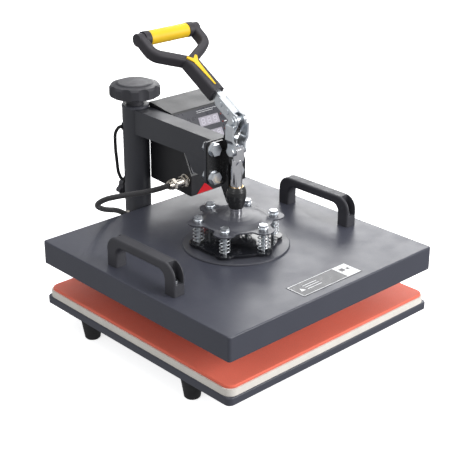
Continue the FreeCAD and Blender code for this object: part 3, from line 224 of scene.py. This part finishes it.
def powder_coat(name, color, rough, grain=1100, depth=4e-5, edge_wear_and_highlight=0.35, coat=0.0):
    """Baked powder: orange-peel relief, slight mottling and, here and there, a lighter edge that is
    partly rubbed wear and partly a painted highlight.
    """
    made = Finish(name, color, rough, coat=coat, coat_rough=0.25)
    made.mottle(scale=9, amount=0.05)
    made.mottle(scale=1300, amount=0.10)
    # lighter edges: partly rubbed wear, partly a painted highlight
    made.edge_wear_and_highlight(0.5 * MM, lighter(color, gain=2.6, lift=0.05), edge_wear_and_highlight)
    made.smear(scale=35, amount=0.05)
    made.round_edges(0.6 * MM)
    made.relief(made.noise(grain, detail=2.0), depth)
    made.relief(made.noise(240, detail=2.0), depth=3e-5)
    return made.mat


def moulded(name, color, rough, grain=1500, depth=4e-5, specular=0.4, edge=0.5 * MM):
    """Injection-moulded plastic with a spark-eroded grain."""
    made = Finish(name, color, rough, specular=specular)
    made.mottle(scale=22, amount=0.07)
    # lighter edges: partly rubbed wear, partly a painted highlight
    made.edge_wear_and_highlight(edge, lighter(color, gain=1.9, lift=0.03), 0.35)
    made.smear(scale=60, amount=0.07)
    made.round_edges(edge)
    made.relief(made.cells(grain), depth)
    return made.mat


def plated(name, color, rough, tone=None):
    """Bright metal with faint drawing lines, water marks and a passivated tone."""
    made = Finish(name, color, rough, metallic=1.0)
    made.mottle(scale=130, amount=0.07)
    if tone:
        made.mix(made.spread(made.noise(75, detail=2.0), 0.0, 0.55, 0.45, 0.75), tone)
    made.smear(scale=210, amount=0.03, stretch=DRAWN)
    made.round_edges(0.35 * MM)
    made.relief(made.noise(900, detail=2.0, stretch=DRAWN), depth=1.5e-6)
    return made.mat


def flat_print(name, color, rough):
    """Printed or filmed surface: faint ink mottling over a smooth film."""
    made = Finish(name, color, rough, specular=0.45)
    made.mottle(scale=420, amount=0.06)
    made.smear(scale=90, amount=0.05)
    made.relief(made.noise(1800, detail=1.0), depth=8e-6)
    return made.mat


FINISHES = (
    (powder_coat, {
        "slate_powder_coat": dict(color=(0.054, 0.057, 0.076), rough=0.36),
        "arm_powder_coat": dict(color=(0.052, 0.054, 0.063), rough=0.44),
        "black_enamel": dict(color=(0.016, 0.017, 0.021), rough=0.10, grain=400, depth=2e-6,
                             edge_wear_and_highlight=0.2),
        "dark_pressed_steel": dict(color=(0.062, 0.064, 0.078), rough=0.36, depth=1e-5),
        "black_casting": dict(color=(0.017, 0.017, 0.018), rough=0.28, grain=520, depth=9e-5,
                              edge_wear_and_highlight=0.3, coat=0.3),
        "box_black": dict(color=(0.016, 0.016, 0.019), rough=0.42, grain=900, depth=6e-5,
                          edge_wear_and_highlight=0.15),
    }),
    (moulded, {
        "moulded_black": dict(color=(0.050, 0.050, 0.058), rough=0.48),
        "grip_black": dict(color=(0.040, 0.037, 0.043), rough=0.52, specular=0.35, edge=0.8 * MM),
        "grip_yellow": dict(color=(0.88, 0.56, 0.016), rough=0.46),
        "switch_plastic": dict(color=(0.018, 0.018, 0.019), rough=0.30),
        "rocker_red": dict(color=(0.52, 0.02, 0.015), rough=0.26, depth=2e-5),
        "button_grey": dict(color=(0.50, 0.51, 0.53), rough=0.34, depth=2e-5),
    }),
    (plated, {
        "zinc_plate": dict(color=(0.80, 0.83, 0.86), rough=0.30, tone=(0.66, 0.71, 0.76)),
        "chrome": dict(color=(0.84, 0.84, 0.87), rough=0.09, tone=(0.78, 0.78, 0.82)),
        "nickel": dict(color=(0.74, 0.69, 0.62), rough=0.16, tone=(0.66, 0.60, 0.52)),
        "bronze": dict(color=(0.56, 0.38, 0.18), rough=0.34),
    }),
    (flat_print, {
        "face_film": dict(color=(0.016, 0.017, 0.028), rough=0.30),
        "label_red": dict(color=(0.60, 0.012, 0.022), rough=0.32),
        "label_dark": dict(color=(0.022, 0.024, 0.030), rough=0.30),
        "label_white": dict(color=(0.72, 0.73, 0.75), rough=0.40),
        "display_window": dict(color=(0.36, 0.34, 0.39), rough=0.20),
        "display_segment": dict(color=(0.50, 0.48, 0.54), rough=0.28),
    }),
)


def led_lens(name):
    made = Finish(name, (0.16, 0.02, 0.02), 0.14, coat=0.5)
    made.mottle(scale=900, amount=0.1)
    made.relief(made.noise(1500), depth=1e-5)
    return made.mat


def black_rubber(name):
    made = Finish(name, (0.018, 0.018, 0.019), 0.62, specular=0.35)
    made.mottle(scale=60, amount=0.15)
    made.smear(scale=140, amount=0.1)
    made.round_edges(0.5 * MM)
    made.relief(made.noise(1600, detail=4.0), depth=6e-5)
    return made.mat


def silicone_red(name):
    """Foam silicone: broad lighter patches in the pad's lit colour, painted light over the red, and
    a fine skin with a coarser dimple under it.
    """
    made = Finish(name, (0.90, 0.175, 0.105), 0.60, specular=0.35, sheen=0.15)
    made.mottle(scale=14, amount=0.05)
    made.mottle(scale=900, amount=0.10)
    # painted light: broad patches of the colour the pad shows where the key light falls on it
    made.mix(made.spread(made.noise(5, detail=6.0), 0.0, 0.25, 0.5, 0.75), (0.92, 0.26, 0.17))
    made.smear(scale=120, amount=0.08)
    made.relief(made.noise(2200, detail=3.0), depth=7e-5)
    made.relief(made.cells(420), depth=3e-5)
    return made.mat


def cream_board(name):
    """Pressed fibre board, with its layers along the edges."""
    made = Finish(name, (0.82, 0.78, 0.72), 0.74, specular=0.25)
    made.mottle(scale=40, amount=0.06)
    made.mix(made.spread(made.noise(520, detail=2.0, stretch=(1, 1, 9)), 0.0, 0.5, 0.52, 0.72),
             (0.52, 0.48, 0.41))
    made.relief(made.noise(700, detail=4.0, stretch=(1, 1, 7)), depth=1.2e-4)
    return made.mat


def hot_plate_alloy(name):
    """Machined aluminium, with its milling lines along X."""
    made = Finish(name, (0.60, 0.61, 0.62), 0.36, metallic=1.0)
    made.mottle(scale=30, amount=0.06)
    made.smear(scale=300, amount=0.08, stretch=(1, 22, 1))
    made.round_edges(0.5 * MM)
    made.relief(made.noise(700, detail=3.0, stretch=(1, 25, 1)), depth=1.5e-5)
    return made.mat


def glass_wool(name):
    made = Finish(name, (0.80, 0.76, 0.60), 0.95, specular=0.1, sheen=0.4)
    made.mottle(scale=90, amount=0.14)
    made.relief(made.noise(600, detail=8.0, stretch=(1, 3, 1)), depth=8e-4)
    return made.mat


def circuit_board(name):
    """Green board whose tracks are the edges between cells."""
    made = Finish(name, (0.02, 0.16, 0.06), 0.35)
    made.mottle(scale=200, amount=0.2)
    tracks = made.spread(made.cells(260, "DISTANCE_TO_EDGE"), 0.8, 0.0, 0.02, 0.06)
    made.mix(tracks, (0.05, 0.30, 0.12))
    made.relief(made.cells(300), depth=4e-5)
    return made.mat


def laminated_core(name):
    """Transformer iron, in sheets that stand across X."""
    made = Finish(name, (0.10, 0.09, 0.08), 0.45, metallic=0.4)
    made.mottle(scale=80, amount=0.2)
    made.relief(made.noise(900, detail=1.0, stretch=(20, 1, 1)), depth=2e-4)
    return made.mat


def braided_sleeve(name, strands_per_metre=620.0, strands_round=12.0):
    """Two families of strands that cross along the sleeve, laid on the sweep's own map."""
    made = Finish(name, (0.034, 0.033, 0.036), 0.58, specular=0.35, sheen=0.25)
    where = made.node("ShaderNodeUVMap", uv_map="sweep")
    split = made.node("ShaderNodeSeparateXYZ")
    made.link(where.outputs["UV"], split.inputs["Vector"])
    along, turn = split.outputs["X"], split.outputs["Y"]

    def strands(sign):
        lay = made.combine(made.combine(along, strands_per_metre, "MULTIPLY"),
                           made.combine(turn, sign * strands_round, "MULTIPLY"), "ADD")
        return made.combine(made.combine(lay, math.tau, "MULTIPLY"), 0.0, "SINE")

    left, right = strands(1.0), strands(-1.0)
    weave = made.combine(left, right, "MAXIMUM")
    # painted shade: the hollows between the strands are darkened
    made.mix(made.spread(weave, 0.75, 0.0, -0.4, 0.6), (0.010, 0.010, 0.011))
    made.mix(made.spread(made.noise(900, detail=3.0), 0.0, 0.3, 0.5, 0.7), (0.075, 0.073, 0.078))
    made.relief(weave, depth=1.6e-4)
    made.relief(made.noise(2400, detail=3.0), depth=5e-5)
    return made.mat


SINGLE_FINISHES = {
    "led_lens": led_lens,
    "black_rubber": black_rubber,
    "silicone_red": silicone_red,
    "cream_board": cream_board,
    "hot_plate_alloy": hot_plate_alloy,
    "glass_wool": glass_wool,
    "circuit_board": circuit_board,
    "laminated_core": laminated_core,
    "braided_sleeve": braided_sleeve,
}


def make_materials():
    made = {}
    for make, looks in FINISHES:
        for name, look in looks.items():
            made[name] = make(name, **look)
    for name, make in SINGLE_FINISHES.items():
        made[name] = make(name)
    return made


MATERIALS = make_materials()


def dress_nodes():
    """Give each carried-over CAD node the finish that its record slot names."""
    slot_of = {row["node"]: row["material_slot"] for row in frame["record"]["subparts"]}
    slot_of["box_gland"] = "nickel"
    slot_of["platen_gland"] = "nickel"
    for name, node in NODES.items():
        for place in node.material_slots:
            place.link = "OBJECT"
            place.material = MATERIALS[slot_of[name]]


dress_nodes()


# ---------------------------------------------------------------- mesh helpers
def add_mesh(name, points, faces, finish, body, smooth=True):
    """A piece with one finish, attached to the body that is given, if any."""
    mesh = bpy.data.meshes.new(name)
    mesh.from_pydata([tuple(p) for p in points], [], faces)
    mesh.validate()
    mesh.update()
    for face in mesh.polygons:
        face.use_smooth = smooth
    mesh.materials.append(MATERIALS[finish])
    made = bpy.data.objects.new(name, mesh)
    bpy.context.scene.collection.objects.link(made)
    if body:
        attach(made, body)
    return made


def smooth_line(points, steps):
    """Points along the smooth cord line that has a route's points as its control points."""
    curve = bpy.data.curves.new("line", "CURVE")
    curve.dimensions = "3D"
    spline = curve.splines.new("NURBS")
    spline.points.add(len(points) - 1)
    for point, where in zip(spline.points, points):
        point.co = (*where, 1.0)
    spline.order_u = 3
    spline.use_endpoint_u = True
    spline.resolution_u = steps
    holder = bpy.data.objects.new("line", curve)
    bpy.context.scene.collection.objects.link(holder)
    mesh = bpy.data.meshes.new_from_object(holder)
    line = [v.co.copy() for v in mesh.vertices]
    bpy.data.objects.remove(holder)
    bpy.data.curves.remove(curve)
    bpy.data.meshes.remove(mesh)
    return line


def sweep(name, line, radius, sides, finish):
    """A closed tube about a line of points, with a map of (length, turn) for its weave."""
    tangents = []
    for index in range(len(line)):
        before, after = line[max(index - 1, 0)], line[min(index + 1, len(line) - 1)]
        tangents.append((after - before).normalized())
    side = tangents[0].orthogonal().normalized()
    points, distance, distances = [], 0.0, []
    for index, (spot, tangent) in enumerate(zip(line, tangents)):
        if index:
            distance += (spot - line[index - 1]).length
        side = (side - tangent * side.dot(tangent)).normalized()
        up = tangent.cross(side)
        distances.append(distance)
        for k in range(sides):
            angle = math.tau * k / sides
            points.append(spot + side * (radius * math.cos(angle))
                          + up * (radius * math.sin(angle)))
    faces = []
    for ring in range(len(line) - 1):
        for k in range(sides):
            a, b = ring * sides + k, ring * sides + (k + 1) % sides
            faces.append((a, b, b + sides, a + sides))
    faces.append(tuple(range(sides - 1, -1, -1)))
    faces.append(tuple(range((len(line) - 1) * sides, len(line) * sides)))
    made = add_mesh(name, points, faces, finish, None)
    layer = made.data.uv_layers.new(name="sweep")
    for face in made.data.polygons:
        last = max(vertex % sides for vertex in face.vertices)
        for loop in face.loop_indices:
            ring, k = divmod(made.data.loops[loop].vertex_index, sides)
            turn = 1.0 if k == 0 and last > 1 else k / sides    # close the map at its seam
            layer.data[loop].uv = (distances[ring], turn)
    return made


# ---------------------------------------------------------------- heater cable
CABLE_RADIUS = 4.0 * MM
CABLE_SIDES = 40
CABLE_STEPS = 24            # points of the line to one control point
CABLE_SPLIT = 0.78          # share of the cable that is in the upper length


def build_cable():
    """The held cable from control box to platen, in two lengths that meet face to face."""
    gland = Vector((0.016, 0.069, TOP_Z + 0.056))
    outlet = Vector((-0.028, 0.1485, TOP_Z - 0.015))
    heading = Vector((-0.78, -0.04, 0.62)).normalized()     # out of the platen's elbow
    route = [gland + Vector((-0.0345, 0, 0)), gland + Vector((-0.068, 0, 0)),
             (-0.084, 0.082, gland.z), (-0.107, 0.101, gland.z - 0.005),
             (-0.112, 0.118, gland.z - 0.017), (-0.100, 0.131, gland.z - 0.030),
             (-0.078, 0.141, gland.z - 0.043),
             outlet + heading * 0.030, outlet + heading * 0.0112]
    line = smooth_line([tuple(p) for p in route], CABLE_STEPS)
    split = int(len(line) * CABLE_SPLIT)
    upper = sweep("cable_upper", line[:split + 1], CABLE_RADIUS, CABLE_SIDES,
                  "braided_sleeve")
    lower = sweep("cable_lower", line[split:], CABLE_RADIUS, CABLE_SIDES,
                  "braided_sleeve")
    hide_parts("heater_cable")
    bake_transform(upper)
    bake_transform(lower)


build_cable()


# ---------------------------------------------------------------- springs
SPRING_COUNT = 6
SPRING_BEARING = 30         # of the first spring, in degrees from +X
SPRING_CIRCLE = 54 * MM     # radius of the circle that they stand on
SPRING_RADIUS = 7.2 * MM    # to the middle of the wire
SPRING_WIRE = 0.75 * MM     # radius of the wire
SPRING_TURNS = 5
TURN_STEPS = 28
WIRE_SIDES = 10


def build_springs():
    """Six coils whose tops stand under the spring plate and whose feet stand on the platen."""
    low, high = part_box("springs")
    centre = (low + high) / 2
    bottom, top = low.z + SPRING_WIRE, high.z - SPRING_WIRE
    rings = SPRING_TURNS * TURN_STEPS
    sides = WIRE_SIDES
    points, faces = [], []
    for spring in range(SPRING_COUNT):
        bearing = math.radians(SPRING_BEARING + 360 * spring / SPRING_COUNT)
        x = centre.x + SPRING_CIRCLE * math.cos(bearing)
        y = centre.y + SPRING_CIRCLE * math.sin(bearing)
        first = len(points)
        for ring in range(rings + 1):
            angle = math.tau * ring / TURN_STEPS
            out = Vector((math.cos(angle), math.sin(angle), 0))
            axis = Vector((x, y, bottom + (top - bottom) * ring / rings))
            spot = axis + out * SPRING_RADIUS
            for k in range(sides):
                turn = math.tau * k / sides
                points.append(spot + out * (SPRING_WIRE * math.cos(turn))
                              + Vector((0, 0, SPRING_WIRE * math.sin(turn))))
        for ring in range(rings):
            for k in range(sides):
                a = first + ring * sides + k
                b = first + ring * sides + (k + 1) % sides
                faces.append((a, a + sides, b + sides, b))
        faces.append(tuple(first + k for k in range(sides)))
        faces.append(tuple(first + rings * sides + sides - 1 - k for k in range(sides)))
    coils = add_mesh("spring_coils", points, faces, "zinc_plate", None)
    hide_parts("springs")
    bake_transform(coils)


build_springs()


# ---------------------------------------------------------------- pad
PAD_CORNER = 12 * MM        # radius of its corners, seen from above
PAD_EDGE = 1.4 * MM         # radius of its soft upper edge
CORNER_STEPS = 8
EDGE_STEPS = 6
LEVEL = 0.999               # a face whose normal is this upright is shaded flat


def build_pad():
    """Foam-silicone sheet that lies flat, with round corners and a soft upper edge."""
    low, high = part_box("silicone_pad")
    centre = (low + high) / 2
    half = (high.x - low.x) / 2
    corner, edge = PAD_CORNER, PAD_EDGE
    outline = []
    for quarter in range(4):
        for step in range(CORNER_STEPS + 1):
            angle = math.radians(90 * quarter + 90 * step / CORNER_STEPS)
            cx = (half - corner) * (1 if quarter in (0, 3) else -1)
            cy = (half - corner) * (1 if quarter in (0, 1) else -1)
            outline.append((cx + corner * math.cos(angle), cy + corner * math.sin(angle), angle))
    thickness = high.z - low.z
    profile = [(0.0, 0.0)]
    for step in range(EDGE_STEPS + 1):
        angle = math.radians(90 * step / EDGE_STEPS)
        profile.append((edge * (1 - math.cos(angle)),
                        thickness - edge + edge * math.sin(angle)))
    rings = []
    for inset, rise in profile:
        ring = []
        for x, y, angle in outline:
            ring.append(Vector((centre.x + x - inset * math.cos(angle),
                                centre.y + y - inset * math.sin(angle), low.z + rise)))
        rings.append(ring)
    mesh = bmesh.new()
    loops = [[mesh.verts.new(p) for p in ring] for ring in rings]
    count = len(outline)
    for a, b in zip(loops, loops[1:]):
        for k in range(count):
            mesh.faces.new((a[k], a[(k + 1) % count], b[(k + 1) % count], b[k]))
    top = mesh.faces.new(loops[-1])
    mesh.faces.new(list(reversed(loops[0])))
    bmesh.ops.triangulate(mesh, faces=[top])
    data = bpy.data.meshes.new("pad_sheet")
    mesh.to_mesh(data)
    mesh.free()
    for face in data.polygons:
        face.use_smooth = abs(face.normal.z) < LEVEL
    data.materials.append(MATERIALS["silicone_red"])
    pad = bpy.data.objects.new("pad_sheet", data)
    bpy.context.scene.collection.objects.link(pad)
    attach(pad, "base")
    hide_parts("silicone_pad")


build_pad()


# ---------------------------------------------------------------- printed marks
def mm(*lengths):
    return tuple(length * MM for length in lengths)


class Plane:
    """A flat surface with its own two axes, on which thin printed marks are laid."""

    def __init__(self, origin, across, down, out):
        self.origin = Vector(origin)
        self.across = Vector(across)
        self.down = Vector(down)
        self.out = Vector(out)

    def at(self, a, d, n):
        return self.origin + self.across * a + self.down * d + self.out * n


def print_marks(name, plane, shapes, finish, body, base, thick=0.06 * MM):
    """Thin raised prints, each an outline of (across, down) points in metres."""
    points, faces = [], []
    for outline in shapes:
        start, count = len(points), len(outline)
        points += [plane.at(a, d, base) for a, d in outline]
        points += [plane.at(a, d, base + thick) for a, d in outline]
        faces.append(tuple(start + count + k for k in range(count)))
        faces.append(tuple(start + count - 1 - k for k in range(count)))
        for k in range(count):
            m = (k + 1) % count
            faces.append((start + k, start + m, start + count + m, start + count + k))
    made = add_mesh(name, points, faces, finish, body, smooth=False)
    mesh = bmesh.new()
    mesh.from_mesh(made.data)
    bmesh.ops.recalc_face_normals(mesh, faces=mesh.faces)
    mesh.to_mesh(made.data)
    mesh.free()
    return made


def bar(a0, a1, d0, d1):
    """A plain rectangle, from its edges across and down."""
    return [(a0, d0), (a1, d0), (a1, d1), (a0, d1)]


def border(a0, a1, d0, d1, width):
    return [bar(a0, a1, d0, d0 + width), bar(a0, a1, d1 - width, d1),
            bar(a0, a0 + width, d0 + width, d1 - width),
            bar(a1 - width, a1, d0 + width, d1 - width)]


SEGMENT_GAP = 0.18          # between the segments of a digit, as a share of their width


def digit_segments(left, top, width, height, stroke, lean):
    """The seven segments of one unlit digit, leaning to the right."""
    gap = stroke * SEGMENT_GAP
    middle = height / 2
    h = stroke / 2

    def leaned(points):
        return [(left + a + lean * (1 - d / height), top + d) for a, d in points]

    def flat(d):
        return leaned([(h + gap, d), (stroke + gap, d - h), (width - stroke - gap, d - h),
                       (width - h - gap, d), (width - stroke - gap, d + h), (stroke + gap, d + h)])

    def tall(a, d0, d1):
        return leaned([(a, d0 + gap), (a + h, d0 + h + gap), (a + h, d1 - h - gap), (a, d1 - gap),
                       (a - h, d1 - h - gap), (a - h, d0 + h + gap)])

    return [flat(h), flat(middle), flat(height - h),
            tall(h, h, middle), tall(width - h, h, middle),
            tall(h, middle, height - h), tall(width - h, middle, height - h)]


# Places on the control box's face, in mm: across from its middle, and down from its top edge.
WINDOWS = ((16.0, 30.5), (38.0, 51.0))      # upper and lower edge of each display window
WINDOW_MARGIN = 2.2                         # above and below the digits
DIGITS = 3
DIGIT_LEFT, DIGIT_PITCH, DIGIT_WIDTH = 64.0, 11.8, 7.4
DIGIT_STROKE, DIGIT_LEAN = 1.3, 0.9
LAMP_ROWS = (19.0, 31.0, 42.0)              # a tick stands beside each indicator lamp
LAMP_TICK = (107.2, 112.0)
LAMP_TICK_HALF = 0.7
HEADING_RULES = ((60, 100, 6.0, 6.5), (60, 92, 8.6, 9.1))
BUTTONS = (62.0, 80.0, 98.0)                # a rule stands under each button
BUTTON_RULE_HALF = 3
BUTTON_RULE = (74.2, 74.8)
DIGIT_BASE, RULE_BASE = 0.95, 1.48          # how far the prints stand in front of the face's plane
DIGIT_THICK = 0.1


def build_face_marks():
    """Unlit digits behind the two windows, and plain ticks and rules in place of lettering."""
    down = Vector((0, -42.0, -86.0)).normalized()
    face = Plane((0, 0.099, TOP_Z + 0.151), (1, 0, 0), down, Vector((0, down.z, -down.y)))
    digits = []
    for s0, s1 in WINDOWS:
        for k in range(DIGITS):
            digits += digit_segments((DIGIT_LEFT + DIGIT_PITCH * k) * MM, (s0 + WINDOW_MARGIN) * MM,
                                     DIGIT_WIDTH * MM, (s1 - s0 - 2 * WINDOW_MARGIN) * MM,
                                     DIGIT_STROKE * MM, DIGIT_LEAN * MM)
    print_marks("display_digits", face, digits, "display_segment", "arm",
                DIGIT_BASE * MM, DIGIT_THICK * MM)
    marks = [bar(*mm(*LAMP_TICK, row - LAMP_TICK_HALF, row + LAMP_TICK_HALF)) for row in LAMP_ROWS]
    marks += [bar(*mm(*rule)) for rule in HEADING_RULES]
    marks += [bar(*mm(x - BUTTON_RULE_HALF, x + BUTTON_RULE_HALF, *BUTTON_RULE)) for x in BUTTONS]
    print_marks("face_rules", face, marks, "label_white", "arm", RULE_BASE * MM)


# Places on the platen's label, in mm: across from its left edge, and down from its far edge.
FRAME_INSET, FRAME_LINE = 1, 0.9
BLOCK_WIDTH, BLOCK_INSET = 26, 1.9          # the pale block at the right end
LABEL_BARS = (20, 46)
LABEL_BAR_ROWS = (10.0, 15.0, 20.0)
LABEL_BAR_HEIGHT = 1.0
LABEL_TRIANGLE = ((8, 21), (16, 21), (12, 13))
DARK_BLOCKS = ((22, 14, 9, 17), (11, 6, 12, 17))    # edges in from the right, and down
PRINT_SINK, BLOCK_BASE = -0.02, 0.03        # the prints' undersides, from the label's surface


def build_labels():
    """A frame, plain bars and blocks and a plain triangle on the platen's label."""
    low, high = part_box("cover_label")
    top = Plane((low.x, high.y, high.z), (1, 0, 0), (0, -1, 0), (0, 0, 1))
    width, height = high.x - low.x, high.y - low.y
    inset, block_inset = FRAME_INSET * MM, BLOCK_INSET * MM
    marks = border(inset, width - inset, inset, height - inset, FRAME_LINE * MM)
    marks.append(bar(width - BLOCK_WIDTH * MM, width - block_inset, block_inset,
                     height - block_inset))
    marks += [bar(*mm(*LABEL_BARS, row, row + LABEL_BAR_HEIGHT)) for row in LABEL_BAR_ROWS]
    marks.append([mm(*corner) for corner in LABEL_TRIANGLE])
    print_marks("cover_label_print", top, marks, "label_white", "platen",
                PRINT_SINK * MM)
    blocks = [bar(width - left * MM, width - right * MM, far * MM, near * MM)
              for left, right, far, near in DARK_BLOCKS]
    print_marks("cover_label_blocks", top, blocks, "label_dark", "platen",
                BLOCK_BASE * MM)


build_face_marks()
build_labels()


# ---------------------------------------------------------------- stage, light and camera
FLOOR_HALF = 9
FLOOR_GLOW = 0.75
SKY_STRENGTH = 0.42
AIM = (0.0, -0.02, 0.12)                    # what the lights point at
LIGHTS = (                                  # name, place, width, height, watts
    ("key", (0.9, -2.0, 1.0), 1.2, 1.0, 44),
    ("overhead", (0.3, 0.2, 2.3), 1.8, 1.8, 32),
    ("left", (-2.1, -0.6, 1.3), 0.9, 1.4, 9),
    ("rear_right", (1.7, 1.25, 0.95), 1.3, 0.9, 18),
)
SENSOR_WIDTH, FOCAL_LENGTH = 36.0, 90.14    # mm
CAMERA_TARGET = (0.0329, 0.0025, TOP_Z)
CAMERA_BACK = (-0.6239, -0.6731, 0.3971)    # from the target to the camera
CAMERA_DISTANCE = 1.6505


def build_floor():
    """A white ground that sends no light back up under the press."""
    mesh = bpy.data.meshes.new("floor")
    size = FLOOR_HALF
    mesh.from_pydata([(-size, -size, 0), (size, -size, 0), (size, size, 0), (-size, size, 0)],
                     [], [(0, 1, 2, 3)])
    floor = bpy.data.objects.new("floor", mesh)
    bpy.context.scene.collection.objects.link(floor)
    finish = Finish("floor", (0.93, 0.93, 0.935), 0.8, specular=0.1)
    finish.shader.inputs["Emission Color"].default_value = (1.0, 1.0, 1.0, 1.0)
    finish.shader.inputs["Emission Strength"].default_value = FLOOR_GLOW
    mesh.materials.append(finish.mat)
    floor.visible_diffuse = False
    floor.visible_glossy = False


def softbox(name, place, width, height, power):
    data = bpy.data.lights.new(name, "AREA")
    data.shape = "RECTANGLE"
    data.size = width
    data.size_y = height
    data.energy = power
    lamp = bpy.data.objects.new(name, data)
    lamp.location = place
    lamp.rotation_mode = "QUATERNION"
    lamp.rotation_quaternion = (Vector(AIM) - Vector(place)).to_track_quat("-Z", "Y")
    lamp.visible_camera = False
    bpy.context.scene.collection.objects.link(lamp)


def build_world():
    world = bpy.data.worlds.new("studio")
    bpy.context.scene.world = world
    world.use_nodes = True
    background = world.node_tree.nodes["Background"]
    background.inputs["Color"].default_value = (0.97, 0.98, 1.0, 1.0)
    background.inputs["Strength"].default_value = SKY_STRENGTH


def build_lights():
    for light in LIGHTS:
        softbox(*light)


def build_camera():
    data = bpy.data.cameras.new("camera")
    data.sensor_width = SENSOR_WIDTH
    data.lens = FOCAL_LENGTH
    camera = bpy.data.objects.new("camera", data)
    back = Vector(CAMERA_BACK).normalized()
    camera.location = Vector(CAMERA_TARGET) + back * CAMERA_DISTANCE
    camera.rotation_mode = "QUATERNION"
    camera.rotation_quaternion = (-back).to_track_quat("-Z", "Y")
    bpy.context.scene.collection.objects.link(camera)
    bpy.context.scene.camera = camera


build_floor()
build_world()
build_lights()
build_camera()
bpy.context.scene.view_settings.view_transform = "Standard"
